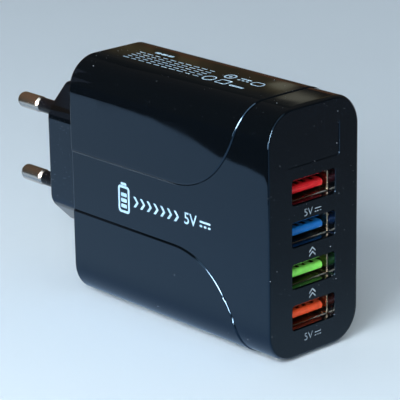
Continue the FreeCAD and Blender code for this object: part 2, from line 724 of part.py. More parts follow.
def make_receptacle(index):
    """One receptacle that stands on the board beside the port hole in the front wall."""
    shell = new_body(f"usb_shell_{index + 1}")
    sketch = cross_sketch(shell, f"shell_section_{index + 1}", "0")
    closed_outline(sketch, round_rectangle("shell_width", "shell_height", "shell_corner"))
    closed_outline(sketch, round_rectangle(
        "(shell_width - 2 * shell_sheet)", "(shell_height - 2 * shell_sheet)",
        "(shell_corner - shell_sheet)"))
    pad(shell, sketch, "shell_length", reverse=True)
    sketch = new_sketch(shell, f"shell_leaf_windows_{index + 1}", "XY_Plane")
    for side in (1, -1):
        middle = f"{side} * leaf_window_spacing / 2"
        closed_outline(sketch, rectangle(
            f"{middle} - leaf_window_width / 2", "leaf_window_setback",
            f"{middle} + leaf_window_width / 2", "leaf_window_setback + leaf_window_length"))
    pocket(shell, sketch, "2 * shell_height", symmetric=True)
    dress(shell, "Chamfer", f"shell_mouth_{index + 1}", "shell_bevel", shell_mouth_edge)

    tongue = new_body(f"usb_tongue_{index + 1}")
    base_front = "(shell_length - base_length)"
    tongue_top = "(-tongue_drop + tongue_thickness / 2)"
    sketch = cross_sketch(tongue, f"base_section_{index + 1}", base_front)
    inside = "2 * (shell_sheet + base_clearance)"
    closed_outline(sketch, round_rectangle(
        f"(shell_width - {inside})", f"(shell_height - {inside})", "(shell_corner - shell_sheet)"))
    pad(tongue, sketch, "base_length", reverse=True)
    sketch = cross_sketch(tongue, f"tongue_section_{index + 1}", base_front)
    closed_outline(sketch, rectangle(
        "-tongue_width / 2", f"{tongue_top} - tongue_thickness", "tongue_width / 2", tongue_top))
    pad(tongue, sketch, f"{base_front} - tongue_setback")
    dress(tongue, "Fillet", f"tongue_nose_{index + 1}", "tongue_nose_round",
          lambda edge: lies_at(edge, "tongue_setback") and abs(edge.CenterOfMass.x) < TOUCH)
    sketch = cross_sketch(tongue, f"groove_section_{index + 1}", "shell_length")
    for middle in CONTACT_PLACES:
        half = "(contact_width / 2 + base_clearance)"
        closed_outline(sketch, rectangle(
            f"{middle} - {half}", f"{tongue_top} - contact_sheet",
            f"{middle} + {half}", f"{tongue_top} + base_clearance"))
    pocket(tongue, sketch, "shell_length - tongue_setback - contact_setback", reverse=True)

    contacts = new_body(f"usb_contacts_{index + 1}")
    contacts.AllowCompound = True
    sketch = cross_sketch(contacts, f"contact_section_{index + 1}", "shell_length")
    for middle in CONTACT_PLACES:
        closed_outline(sketch, rectangle(
            f"{middle} - contact_width / 2", f"{tongue_top} - contact_sheet",
            f"{middle} + contact_width / 2", tongue_top))
    pad(contacts, sketch, "shell_length - tongue_setback - contact_setback")
    pieces = [shell, tongue, contacts]
    for piece in pieces:
        place(piece, along=SHELL_MOUTH, up=port_up(index))
    return pieces


# The board and what stands on it

def make_board():
    """The main circuit board, upright in the rails, with its parts on the side away from the wall."""
    board = new_body("main_board")
    sketch = new_sketch(board, "board_outline", "YZ_Plane", f"{BOARD_FACE} - board_thickness")
    edge = f"({floor_at('side_wall', '(shell_width / 2 + board_thickness)')} + board_edge_gap)"
    closed_outline(sketch, rectangle(
        behind("(front_wall + board_front_gap)"), edge, BOARD_REAR, f"body_height - {edge}"))
    pad(board, sketch, "board_thickness")
    return board


STANDING = FreeCAD.Rotation(FreeCAD.Vector(0, 0, 1), -90)
LYING = FreeCAD.Rotation(FreeCAD.Vector(1, 0, 0), 90)


def turned(name, corners, across, along, up, turn):
    """A turned piece whose axis stands on the board or lies upright along it."""
    body = new_body(name)
    sketch = new_sketch(body, f"{name}_profile", "XY_Plane")
    closed_outline(sketch, corners)
    revolve(body, sketch)
    place(body, across, along, up, turn)
    return body


def can_profile(diameter, length):
    """Half section of an electrolytic capacitor: a crimp groove near its base and a rounded rim."""
    radius = f"{diameter} / 2"
    return [
        ("0", "0"),
        (radius, "0"),
        (radius, "2 * can_crimp_width"),
        (f"{radius} - can_crimp", "2.5 * can_crimp_width"),
        (radius, "3 * can_crimp_width"),
        (radius, f"{length} - can_round", "can_round", 1),
        (f"{radius} - can_round", length),
        ("0", length),
    ]


def make_capacitors():
    """Input capacitors that lie on the board and output capacitors that stand on it."""
    made = []
    for index, column in enumerate((-1, 1), start=1):
        made.append(turned(
            f"input_capacitor_{index}", can_profile("input_can", "input_can_length"),
            f"{BOARD_FACE} + input_can / 2 + can_clearance", f"{MIDDLE_ROW} + {column} * row_pitch / 2",
            f"body_height - {PARTS_EDGE} - input_can_length", LYING))
        made.append(turned(
            f"output_capacitor_{index}", can_profile("output_can", "output_can_length"),
            BOARD_FACE, OUTPUT_ROW, f"output_can_up + {index - 1} * output_can_pitch", STANDING))
    return made


def make_choke():
    """The drum-shaped input choke, wound between two flanges."""
    drum = "choke_diameter / 2"
    wound = f"{drum} - choke_winding"
    return turned("input_choke", [
        ("0", "0"), (drum, "0"), (drum, "choke_flange"), (wound, "choke_flange"),
        (wound, "choke_height - choke_flange"), (drum, "choke_height - choke_flange"),
        (drum, "choke_height"), ("0", "choke_height"),
    ], BOARD_FACE, REAR_ROW, f"{PARTS_EDGE} + {drum}", STANDING)


def make_fuse():
    """The fuse in its round can, between the two spring contacts."""
    rim = "fuse_diameter / 2"
    return turned("fuse", [
        ("0", "0"), (rim, "0"), (rim, "fuse_height - can_round", "can_round", 1),
        (f"{rim} - can_round", "fuse_height"), ("0", "fuse_height"),
    ], BOARD_FACE, REAR_ROW, MIDDLE, STANDING)


def make_safety_capacitor():
    """The disc-shaped safety capacitor, on edge above the transformer."""
    rim = "disc_diameter / 2"
    return turned("safety_capacitor", [
        ("0", "0"), (f"{rim} - disc_round", "0", "disc_round", 1), (rim, "disc_round"),
        (rim, "disc_thickness - disc_round", "disc_round", 1), (f"{rim} - disc_round", "disc_thickness"),
        ("0", "disc_thickness"),
    ], f"{BOARD_FACE} + {rim} + can_clearance", f"{MIDDLE_ROW} + row_pitch / 2",
        f"{CORE_TOP} + part_gap", LYING)


def make_chip(name, along, up, kind, rear_side=False):
    """A moulded chip on the board, or on the board's other side, with bevelled outer edges."""
    chip = new_body(name)
    face = f"{BOARD_FACE} - board_thickness" if rear_side else BOARD_FACE
    thick = f"{kind}_thickness"
    sketch = new_sketch(chip, f"{name}_outline", "YZ_Plane", face)
    closed_outline(sketch, rectangle(
        f"{along} - {kind}_length / 2", f"{up} - {kind}_height / 2",
        f"{along} + {kind}_length / 2", f"{up} + {kind}_height / 2"))
    pad(chip, sketch, thick, reverse=rear_side)
    outer = number(face) + (-1 if rear_side else 1) * number(thick)
    dress(chip, "Chamfer", f"{name}_bevel", "chip_bevel",
          lambda edge: all(abs(point.x - outer) < TOUCH for point in samples(edge)))
    return chip


def make_chips():
    """The rectifiers, the optocoupler, the port chips, and the controller on the board's other side."""
    return [
        make_chip("bridge_rectifier", REAR_ROW,
                  f"(body_height - {PARTS_EDGE} - bridge_height / 2)", "bridge"),
        make_chip("optocoupler", f"{MIDDLE_ROW} - row_pitch / 2",
                  f"({CORE_TOP} + part_gap + coupler_height / 2)", "coupler"),
        make_chip("output_rectifier", OUTPUT_ROW, "rectifier_up", "rectifier"),
        make_chip("port_chip_1", OUTPUT_ROW, "port_chip_up", "chip"),
        make_chip("port_chip_2", OUTPUT_ROW, "(port_chip_up + port_chip_pitch)", "chip"),
        make_chip("controller_chip", MIDDLE_ROW, MIDDLE, "chip", rear_side=True),
    ]


def make_transformer():
    """Ferrite core with two windows, a bobbin on its middle leg with feet on the board, and the winding."""
    core = new_body("transformer_core")
    middle_across = f"({BOARD_FACE} + bobbin_foot + bobbin_depth / 2)"
    centre = MIDDLE_ROW
    core_up = "(core_lift + core_height / 2)"
    sketch = new_sketch(core, "core_outline", "YZ_Plane", middle_across)
    closed_outline(sketch, rectangle(
        f"{centre} - core_width / 2", "core_lift",
        f"{centre} + core_width / 2", CORE_TOP))
    for side in (1, -1):
        near = f"{centre} + {side} * core_middle / 2"
        far = f"{centre} + {side} * (core_width / 2 - core_leg)"
        closed_outline(sketch, rectangle(
            near, "core_lift + core_leg", far, f"{CORE_TOP} - core_leg"))
    pad(core, sketch, "core_thickness", symmetric=True)

    # Sections across the winding, which runs up along the board
    window = "(core_height - 2 * core_leg - 2 * bobbin_clearance)"
    hole_across = "(core_thickness / 2 + bobbin_clearance)"
    hole_along = "(core_middle / 2 + bobbin_clearance)"
    tube_across = f"({hole_across} + bobbin_wall)"
    tube_along = f"({hole_along} + bobbin_wall)"
    flange_along = "(core_width / 2 - core_leg - bobbin_clearance)"
    bobbin = new_body("transformer_bobbin")
    sketch = new_sketch(bobbin, "bobbin_tube", "XY_Plane")
    closed_outline(sketch, rectangle(f"-{tube_across}", f"-{tube_along}", tube_across, tube_along))
    pad(bobbin, sketch, window, symmetric=True)
    for side in (1, -1):
        name = "upper" if side > 0 else "lower"
        start = f"{side} * {window} / 2"
        sketch = new_sketch(bobbin, f"bobbin_{name}_flange", "XY_Plane", start)
        closed_outline(sketch, rectangle(
            "-bobbin_depth / 2 - bobbin_foot", f"-{flange_along}", "bobbin_depth / 2", flange_along))
        pad(bobbin, sketch, "bobbin_flange", reverse=side > 0)
    sketch = new_sketch(bobbin, "bobbin_hole", "XY_Plane")
    closed_outline(sketch, rectangle(f"-{hole_across}", f"-{hole_along}", hole_across, hole_along))
    pocket(bobbin, sketch, "2 * core_height", symmetric=True)

    winding = new_body("transformer_winding")
    sketch = new_sketch(winding, "winding_section", "XY_Plane")
    inner_across = f"({tube_across} + bobbin_clearance)"
    inner_along = f"({tube_along} + bobbin_clearance)"
    closed_outline(sketch, round_rectangle(
        f"(2 * {inner_across} + 2 * winding_build)", f"(2 * {inner_along} + 2 * winding_build)",
        "winding_build"))
    closed_outline(sketch, rectangle(f"-{inner_across}", f"-{inner_along}", inner_across, inner_along))
    pad(winding, sketch, f"{window} - 2 * bobbin_flange - 2 * bobbin_clearance", symmetric=True)
    for piece in (bobbin, winding):
        place(piece, middle_across, centre, core_up)
    return [core, bobbin, winding]


def check_and_write(pieces):
    """Stop at the first failed object or unsound shape, then write one file for each piece."""
    doc.recompute()
    for item in doc.Objects:
        if "Invalid" in item.State or "Error" in item.State:
            raise RuntimeError(f"{item.Label} failed: {item.State}")
    for piece in pieces:
        if piece.Shape.isNull() or not piece.Shape.isValid():
            raise RuntimeError(f"{piece.Label} has no sound shape")
    os.makedirs("parts", exist_ok=True)
    for piece in pieces:
        piece.Shape.exportStep(f"parts/{piece.Label}.step")


fill_sheet()
parts = [make_rear_housing(), make_front_housing()]
parts += make_pin("line_pin", 1) + make_pin("neutral_pin", -1)
parts += [make_blade("line_blade", 1), make_blade("neutral_blade", -1)]
for port in range(4):
    parts += make_receptacle(port)
parts += [make_board(), make_choke(), make_fuse(), make_safety_capacitor()]
parts += make_capacitors() + make_chips() + make_transformer()
check_and_write(parts)
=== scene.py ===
"""Looks of a plug-in wall charger with four ports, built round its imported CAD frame."""

import math

import bmesh
import bpy
from mathutils import Matrix, Vector


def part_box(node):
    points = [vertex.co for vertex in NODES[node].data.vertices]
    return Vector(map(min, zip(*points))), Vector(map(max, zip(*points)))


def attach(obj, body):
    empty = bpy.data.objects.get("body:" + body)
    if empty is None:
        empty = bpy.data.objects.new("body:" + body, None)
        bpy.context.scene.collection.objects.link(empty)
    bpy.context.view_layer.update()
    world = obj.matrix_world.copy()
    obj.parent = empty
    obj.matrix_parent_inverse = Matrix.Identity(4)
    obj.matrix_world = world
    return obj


bl_info = {
    "name": "Wall Charger Finish",
    "version": (1, 0, 0),
    "blender": (4, 5, 0),
    "location": "View3D > Sidebar > Charger",
    "description": "Gives the wall charger its finishes, its print and a plain studio",
    "category": "Object",
}

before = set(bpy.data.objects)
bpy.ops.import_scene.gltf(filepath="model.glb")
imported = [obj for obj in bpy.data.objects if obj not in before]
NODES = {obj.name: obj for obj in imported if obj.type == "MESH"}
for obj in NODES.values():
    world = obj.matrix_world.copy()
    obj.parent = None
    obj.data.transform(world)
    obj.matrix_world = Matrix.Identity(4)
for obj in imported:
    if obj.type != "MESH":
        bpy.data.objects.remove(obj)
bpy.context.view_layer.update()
MM = 0.001
PORT_NUMBERS = (1, 2, 3, 4)

# Directions
ALONG_X = (1.0, 0.0, 0.0)
ALONG_Y = (0.0, 1.0, 0.0)
ALONG_Z = (0.0, 0.0, 1.0)
LEFTWARDS = (-1.0, 0.0, 0.0)

# Faces of the housing that carry print, read from the CAD nodes
FACE_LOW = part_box("front_housing")[0]
SIDE_FACE = FACE_LOW.x
PORT_FACE = FACE_LOW.y
TOP_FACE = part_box("rear_housing")[1].z
SHELLS = [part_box(f"usb_shell_{number}") for number in PORT_NUMBERS]
PORTS = [(low + high) / 2 for low, high in SHELLS]
SHELL_MOUTH = SHELLS[0][0].y
MIDDLE = PORTS[1].z

# The space of the port holes, from behind their bevels to the shells
HOLE_REACH = Vector((6.6 * MM, 0.9 * MM, (PORTS[0].z - PORTS[3].z) / 2 + 3.2 * MM))
HOLE_MIDDLE = Vector((0.0, PORT_FACE + 0.4 * MM + HOLE_REACH.y, (PORTS[0].z + PORTS[3].z) / 2))

# How printed artwork lies on each face: reading direction, upwards, outwards
ON_SIDE = Matrix(((0, 0, -1), (-1, 0, 0), (0, 1, 0)))
ON_FRONT = Matrix(((1, 0, 0), (0, 0, -1), (0, 1, 0)))
ON_TOP = Matrix(((0, 1, 0), (-1, 0, 0), (0, 0, 1)))


def mm(*values):
    """Millimetres as metres."""
    return tuple(value * MM for value in values)


# Settings

def colour_setting(label, note, tint):
    """A colour in the settings."""
    return bpy.props.FloatVectorProperty(
        name=label, description=note, subtype="COLOR", size=3, min=0, max=1, default=tint)


def number_setting(label, note, value, **kind):
    """A length, an angle, a power or a plain number in the settings."""
    return bpy.props.FloatProperty(name=label, description=note, default=value, **kind)


def count_setting(label, note, value):
    """A count in the settings."""
    return bpy.props.IntProperty(name=label, description=note, default=value, min=1)


class ChargerColours(bpy.types.PropertyGroup):
    """Colours of the charger's finishes."""

    housing: colour_setting("Housing", "Glossy moulding of both housings", (0.0012, 0.0018, 0.0025))
    dust: colour_setting("Dust", "Fine dust on the housings", (0.42, 0.47, 0.52))
    ink: colour_setting("Ink", "Print on the housings", (0.36, 0.56, 0.74))
    # Port Ink: a darker, greyer copy of the print ink, painted shade for the dimmer port face, where the
    # print is also thinner.
    shaded_port_ink: colour_setting("Port Ink", "Thinner print below the ports", (0.27, 0.35, 0.42))
    nickel: colour_setting("Nickel", "Plating of the mains pins", (0.49, 0.48, 0.465))
    steel: colour_setting("Steel", "Shells of the ports", (0.31, 0.265, 0.195))
    port_1: colour_setting("First Port", "Insulator of the uppermost port", (0.77, 0.017, 0.026))
    port_2: colour_setting("Second Port", "Insulator of the second port", (0.008, 0.175, 0.57))
    port_3: colour_setting("Third Port", "Insulator of the third port", (0.29, 1.0, 0.155))
    port_4: colour_setting("Fourth Port", "Insulator of the lowest port", (1.0, 0.110, 0.032))


class ChargerPrint(bpy.types.PropertyGroup):
    """Sizes of the print."""

    ink_height: number_setting(
        "Ink Height", "How far the ink stands proud of its face", 0.012 * MM, unit="LENGTH")
    ink_root: number_setting(
        "Ink Root", "How far the ink bites into its face", 0.02 * MM, unit="LENGTH")
    rating_size: number_setting(
        "Side Digits", "Letter height of the rating on the side", 3.9 * MM, unit="LENGTH")
    port_mark_size: number_setting(
        "Port Digits", "Letter height of the marks below the ports", 2.5 * MM, unit="LENGTH")
    chevrons: count_setting("Chevrons", "Chevrons in the row on the side", 7)
    rows: count_setting("Rows", "Rows of small bars on the top", 5)
    bars: count_setting("Bars", "Small bars in one row on the top", 10)
    seed: count_setting("Seed", "Start of the random bar lengths", 4)


class ChargerStage(bpy.types.PropertyGroup):
    """Camera, floor and light."""

    camera_place: bpy.props.FloatVectorProperty(
        name="Camera", description="Where the camera stands",
        subtype="TRANSLATION", unit="LENGTH", size=3, default=(-0.3185, -0.3642, 0.1860))
    azimuth: number_setting(
        "Azimuth", "Turn of the camera about the vertical", math.radians(-42.316), subtype="ANGLE")
    elevation: number_setting(
        "Elevation", "How far the camera looks down", math.radians(18.54), subtype="ANGLE")
    roll: number_setting(
        "Roll", "Turn of the camera about its own axis", math.radians(-0.98), subtype="ANGLE")
    lens: number_setting("Lens", "Focal length on a 36 mm sensor", 194.09, unit="CAMERA")
    floor: colour_setting("Floor", "Pale floor", (0.625, 0.75, 0.85))
    sky: number_setting("Sky", "Strength of the even light from all round", 0.46)
    window_power: number_setting(
        "Window", "Power of the large soft lamp on the left", 3.8, unit="POWER")
    fill_power: number_setting(
        "Fill", "Power of the small lamp beside the camera", 3.2, unit="POWER")


# Nodes

def set_input(tree, socket, value):
    """Link an input to another node's output, or give it a value or a colour."""
    if isinstance(value, bpy.types.NodeSocket):
        tree.links.new(value, socket)
    elif socket.type == "RGBA":
        socket.default_value = (*value[:3], 1.0)
    else:
        socket.default_value = value


def add_node(tree, kind, values=None, **settings):
    """A node with its own settings, and with its inputs' values or links."""
    made = tree.nodes.new(kind)
    for key, value in settings.items():
        setattr(made, key, value)
    for key, value in (values or {}).items():
        set_input(tree, made.inputs[key], value)
    return made


# First input and output of a mix node for each kind of value
MIX_SOCKETS = {"FLOAT": (2, 0), "VECTOR": (4, 1), "RGBA": (6, 2)}


class Nodes:
    """A shader node tree in the making."""

    def __init__(self, tree):
        self.tree = tree

    def add(self, kind, values=None, **settings):
        """The outputs of a new shader node."""
        return add_node(self.tree, f"ShaderNode{kind}", values, **settings).outputs

    def calculate(self, operation, first, second):
        """What an operation makes of two values."""
        return self.add("Math", {0: first, 1: second}, operation=operation)[0]

    def slope(self, value, start, end):
        """A mask that rises softly while a value goes from start to end."""
        return self.add("MapRange", {"Value": value, "From Min": start, "From Max": end},
                        interpolation_type="SMOOTHSTEP")["Result"]

    def mix(self, kind, mask, low, high):
        """What goes from low to high with a mask."""
        first, outlet = MIX_SOCKETS[kind]
        return self.add("Mix", {0: mask, first: low, first + 1: high}, data_type=kind)[outlet]

    def blend(self, mask, low, high):
        """A colour that goes from low to high with a mask."""
        return self.mix("RGBA", mask, low, high)

    def level(self, mask, low, high):
        """A value that goes from low to high with a mask."""
        return self.mix("FLOAT", mask, low, high)


class Group(Nodes):
    """A shader node group on a place: an effect that several finishes share."""

    def __init__(self, name, **inputs):
        super().__init__(bpy.data.node_groups.new(name, "ShaderNodeTree"))
        face = self.tree.interface
        for label, default in {"Vector": (0.0, 0.0, 0.0), **inputs}.items():
            kind = "Vector" if isinstance(default, tuple) else "Float"
            socket = face.new_socket(label, in_out="INPUT", socket_type=f"NodeSocket{kind}")
            socket.default_value = default
        face.new_socket("Effect", in_out="OUTPUT", socket_type="NodeSocketFloat")
        self.take = self.tree.nodes.new("NodeGroupInput").outputs

    def give(self, effect):
        """End with the group's output."""
        add_node(self.tree, "NodeGroupOutput", {"Effect": effect})
        return self.tree


def dust_group():
    """Scattered specks of dust: a mask from the cells of a Voronoi pattern."""
    group = Group("Dust Specks", Density=300.0, Size=0.05, Share=0.3)
    take = group.take
    cells = group.add("TexVoronoi", {"Vector": take["Vector"], "Scale": take["Density"]})
    soft = group.calculate("MULTIPLY", take["Size"], 0.45)
    near = group.add("MapRange", {"Value": cells["Distance"], "From Min": soft, "From Max": take["Size"],
                                  "To Min": 1.0, "To Max": 0.0})
    chance = group.add("SeparateColor", {"Color": cells["Color"]})
    chosen = group.calculate("LESS_THAN", chance["Red"], take["Share"])
    return group.give(group.calculate("MULTIPLY", near["Result"], chosen))


def cloud_group():
    """Soft uneven patches, for handling marks and uneven colour."""
    group = Group("Soft Patches", Scale=60.0, Low=0.4, High=0.7)
    take = group.take
    noise = group.add("TexNoise", {"Vector": take["Vector"], "Scale": take["Scale"],
                                   "Detail": 3.0, "Roughness": 0.6})
    return group.give(group.slope(noise["Fac"], take["Low"], take["High"]))


def grain_group():
    """Fine even grain of a moulded or plated surface, as a height."""
    group = Group("Fine Grain", Scale=4000.0)
    noise = group.add("TexNoise", {"Vector": group.take["Vector"], "Scale": group.take["Scale"],
                                   "Detail": 2.0, "Roughness": 0.5})
    return group.give(noise["Fac"])


def streak_group():
    """Hairline streaks along one axis: brushed metal, drawn wire and light scratches."""
    group = Group("Hairlines", Across=(3000.0, 3000.0, 3000.0), Low=0.45, High=0.75)
    take = group.take
    stretched = group.add("VectorMath", {0: take["Vector"], 1: take["Across"]}, operation="MULTIPLY")
    noise = group.add("TexNoise", {"Vector": stretched["Vector"], "Scale": 1.0, "Detail": 2.0})
    level = group.add("MapRange", {"Value": noise["Fac"], "From Min": take["Low"],
                                   "From Max": take["High"]})
    return group.give(level["Result"])


# The shader groups and geometry trees that several pieces share, filled by build_shared
SHARED = {}


class Finish(Nodes):
    """A material in the making, on Object coordinates and with shared effects."""

    kind = "BsdfPrincipled"

    def __init__(self, name):
        self.material = bpy.data.materials.new(name)
        self.material.use_nodes = True
        super().__init__(self.material.node_tree)
        self.tree.nodes.clear()
        self.shader = add_node(self.tree, f"ShaderNode{self.kind}")
        self.add("OutputMaterial", {"Surface": self.shader.outputs[0]})
        self.place = self.add("TexCoord")["Object"]

    def within(self, *masks):
        """A mask of what lies in all of several masks."""
        inside = masks[0]
        for mask in masks[1:]:
            inside = self.level(mask, 0.0, inside)
        return inside

    def distance(self, direction):
        """How far a point lies along a direction."""
        return self.add("VectorMath", {0: self.place, 1: direction}, operation="DOT_PRODUCT")["Value"]

    def along(self, direction, start, end):
        """A mask that rises softly from start to end along a direction."""
        return self.slope(self.distance(direction), start, end)

    def near(self, direction, middle, reach):
        """A mask of what lies within a reach of a middle along a direction."""
        return self.add("Math", {0: self.distance(direction), 1: middle, 2: reach},
                        operation="COMPARE")[0]

    def effect(self, group, **values):
        """A shared effect with its own values."""
        return self.add("Group", {"Vector": self.place, **values}, node_tree=SHARED[group])[0]

    def cloud(self, scale, low, high):
        """A mask of soft patches."""
        return self.effect("cloud", Scale=scale, Low=low, High=high)

    def streak(self, across, low=0.45, high=0.75):
        """A mask of hairlines, with their number across each axis."""
        return self.effect("streak", Across=across, Low=low, High=high)

    def bump(self, height, depth, **under):
        """A bump with its depth in millimetres, on other normals if there are any."""
        return self.add("Bump", {"Height": height, "Distance": depth * MM, **under})["Normal"]

    def grain(self, scale, depth, **under):
        """A bump of fine even grain."""
        return self.bump(self.effect("grain", Scale=scale), depth, **under)

    def end(self, **sockets):
        """Give the shader's inputs their values and links."""
        for key, value in sockets.items():
            set_input(self.tree, self.shader.inputs[key.replace("_", " ")], value)
        return self.material


def shade(colour, factor):
    """A colour made lighter or darker."""
    return tuple(min(1.0, channel * factor) for channel in colour)


# Finishes of the outside

def hole_walls(finish):
    """A mask of the walls inside the port holes, which aren't polished."""
    return finish.within(*(
        finish.near(direction, middle, reach)
        for direction, middle, reach in zip((ALONG_X, ALONG_Y, ALONG_Z), HOLE_MIDDLE, HOLE_REACH)))


# The rim round the port face: its middle and half its width, and where its glint starts and ends
RIM_MIDDLE, RIM_REACH = mm(0.5, 0.48)
GLINT_START, GLINT_END = mm(0.03, 0.14)
RIM_FLATTENING = (1.0, 0.02, 1.0)


def crisp_edge(finish):
    """Normals that keep the sides straight almost up to the port face, for a thin glint on its rim."""
    normal = finish.add("NewGeometry")["Normal"]
    flatter = finish.add("VectorMath", {0: normal, 1: RIM_FLATTENING}, operation="MULTIPLY")["Vector"]
    even = finish.add("VectorMath", {0: flatter}, operation="NORMALIZE")["Vector"]
    share = finish.within(finish.along(ALONG_Y, PORT_FACE + GLINT_START, PORT_FACE + GLINT_END),
                          finish.near(ALONG_Y, PORT_FACE + RIM_MIDDLE, RIM_REACH))
    return finish.mix("VECTOR", share, normal, even)


# The painted highlight on the edge above the upper seam: its height, its straight run and where it fades in
SEAM_HIGHLIGHT_TONE = (0.046, 0.056, 0.066)
EDGE_MIDDLE, EDGE_REACH = mm(36.27, 0.20)
RUN_MIDDLE, RUN_REACH = mm(-4.65, 18.95)
FADE_START, FADE_END = mm(-23.5, -18.5)


def painted_seam_highlight(finish):
    """The straight run of the upper seam, where a pale painted highlight stands in for the light that the
    rounded edge of the rear housing catches.
    """
    return finish.within(finish.along(ALONG_Y, FADE_START, FADE_END),
                         finish.near(ALONG_Y, RUN_MIDDLE, RUN_REACH),
                         finish.near(ALONG_Z, EDGE_MIDDLE, EDGE_REACH))


def glossy_moulding(colours):
    """Glossy black moulding: faint waves from the mould, handling marks, specks of dust and a painted
    highlight along the upper seam.
    """
    finish = Finish("glossy_black_moulding")
    settled = finish.level(finish.cloud(70.0, 0.40, 0.64), 0.20, 0.72)
    coarse = finish.effect("dust", Density=436.0, Size=0.062, Share=settled)
    fine = finish.effect("dust", Density=1300.0, Size=0.085, Share=0.17)
    specks = finish.calculate("MAXIMUM", coarse, fine)
    gloss = finish.level(finish.cloud(45.0, 0.48, 0.78), 0.035, 0.075)
    gloss = finish.level(finish.streak((900.0, 140.0, 2600.0), 0.70, 0.80), gloss, 0.20)
    gloss = finish.level(hole_walls(finish), gloss, 0.20)
    gloss = finish.level(specks, gloss, 0.9)
    # Painted highlight: the upper seam's edge is coloured pale as if it caught the light.
    colour = finish.blend(painted_seam_highlight(finish), colours.housing, SEAM_HIGHLIGHT_TONE)
    colour = finish.blend(specks, colour, colours.dust)
    waves = finish.grain(38.0, 0.03, Normal=crisp_edge(finish))
    raised = finish.bump(specks, 0.02, Normal=waves)
    return finish.end(Base_Color=colour, Roughness=gloss, Normal=raised, Specular_IOR_Level=0.72,
                      Specular_Tint=(0.285, 0.58, 0.98))


def print_ink(name, tint):
    """Screen-printed ink: slightly uneven, dull, with a fine grain."""
    finish = Finish(name)
    thin = finish.cloud(2600.0, 0.30, 0.62)
    colour = finish.blend(thin, shade(tint, 0.80), tint)
    rough = finish.level(thin, 0.62, 0.48)
    return finish.end(Base_Color=colour, Roughness=rough, Normal=finish.grain(9000.0, 0.004))


def nickel_plating(colours):
    """Nickel plating over turned brass: fine rings from the lathe and rubbed streaks along the pin."""
    finish = Finish("nickel_plating")
    rings = finish.streak((60.0, 9000.0, 60.0), 0.35, 0.65)
    rubbed = finish.streak((4200.0, 160.0, 4200.0), 0.58, 0.80)
    tarnish = finish.cloud(160.0, 0.42, 0.72)
    colour = finish.blend(tarnish, colours.nickel, shade(colours.nickel, 0.88))
    colour = finish.blend(rubbed, colour, shade(colours.nickel, 1.15))
    rough = finish.level(rubbed, finish.level(tarnish, 0.20, 0.28), 0.16)
    return finish.end(Base_Color=colour, Roughness=rough, Normal=finish.bump(rings, 0.004), Metallic=1.0)


def dull_moulding(name, colour, rough, grain=3200.0, depth=0.006, shine=0.5):
    """Dull moulded plastic with a fine grain, uneven gloss and a little dust."""
    finish = Finish(name)
    handled = finish.cloud(260.0, 0.40, 0.72)
    specks = finish.effect("dust", Density=700.0, Size=0.08, Share=0.12)
    tone = finish.blend(handled, colour, shade(colour, 1.35))
    tone = finish.blend(specks, tone, (0.30, 0.31, 0.32))
    gloss = finish.level(handled, rough, rough * 1.3)
    return finish.end(Base_Color=tone, Roughness=gloss, Normal=finish.grain(grain, depth),
                      Specular_IOR_Level=shine)


# Where painted shade darkens an insulator, behind its tip
PAINTED_SHADE_START, PAINTED_SHADE_END = mm(0.9, 3.0)


def port_insulator(name, colour, tip):
    """Coloured insulator of a port: satin plastic with uneven pigment, and painted shade that darkens it
    further inside the port.
    """
    finish = Finish(name)
    pigment = finish.cloud(500.0, 0.35, 0.70)
    painted_shade = finish.along(ALONG_Y, tip + PAINTED_SHADE_START, tip + PAINTED_SHADE_END)
    tone = finish.blend(pigment, colour, shade(colour, 0.78))
    # Painted shade: the insulator goes dark behind its tip, inside the port.
    tone = finish.blend(painted_shade, tone, shade(colour, 0.10))
    gloss = finish.level(pigment, 0.30, 0.42)
    return finish.end(Base_Color=tone, Roughness=gloss, Normal=finish.grain(5200.0, 0.004))


def bare_metal(name, colour, rough, across=(4200.0, 160.0, 4200.0), spread=(0.45, 0.75),
               stain_scale=380.0, stain=0.75):
    """Plated or rolled sheet metal, with rolling lines and uneven tarnish."""
    finish = Finish(name)
    rolled = finish.streak(across, *spread)
    tarnish = finish.cloud(stain_scale, 0.40, 0.75)
    tone = finish.blend(tarnish, colour, shade(colour, stain))
    gloss = finish.level(rolled, *rough)
    return finish.end(Base_Color=tone, Roughness=gloss, Normal=finish.bump(rolled, 0.003), Metallic=1.0)


# Finishes of the inside

def board_laminate():
    """Solder mask over glass cloth, with copper lines that show through as lighter green."""
    finish = Finish("board_laminate")
    turned = finish.add("Mapping", {"Vector": finish.place, "Rotation": (0.0, math.radians(90), 0.0)})
    copper = finish.add("TexBrick", {
        "Vector": turned["Vector"], "Scale": 260.0, "Mortar Size": 0.05, "Brick Width": 1.3,
        "Row Height": 0.55}, offset=0.37)["Fac"]
    tone = finish.blend(copper, (0.012, 0.105, 0.035), (0.035, 0.21, 0.075))
    tone = finish.blend(finish.streak((900.0, 5200.0, 300.0)), tone, (0.016, 0.125, 0.045))
    gloss = finish.level(copper, 0.38, 0.28)
    return finish.end(Base_Color=tone, Roughness=gloss, Normal=finish.bump(copper, 0.03))


def wound_tape():
    """Yellow transformer tape in overlapping turns."""
    finish = Finish("winding_tape")
    turns = finish.add("TexWave", {"Vector": finish.place, "Scale": 95.0, "Distortion": 0.6, "Detail": 1.0},
                       bands_direction="Z", wave_profile="SAW")["Fac"]
    creases = finish.cloud(500.0, 0.45, 0.75)
    tone = finish.blend(turns, (0.62, 0.40, 0.030), (0.80, 0.56, 0.060))
    tone = finish.blend(creases, tone, (0.52, 0.32, 0.025))
    gloss = finish.level(creases, 0.25, 0.42)
    return finish.end(Base_Color=tone, Roughness=gloss, Normal=finish.bump(turns, 0.05))


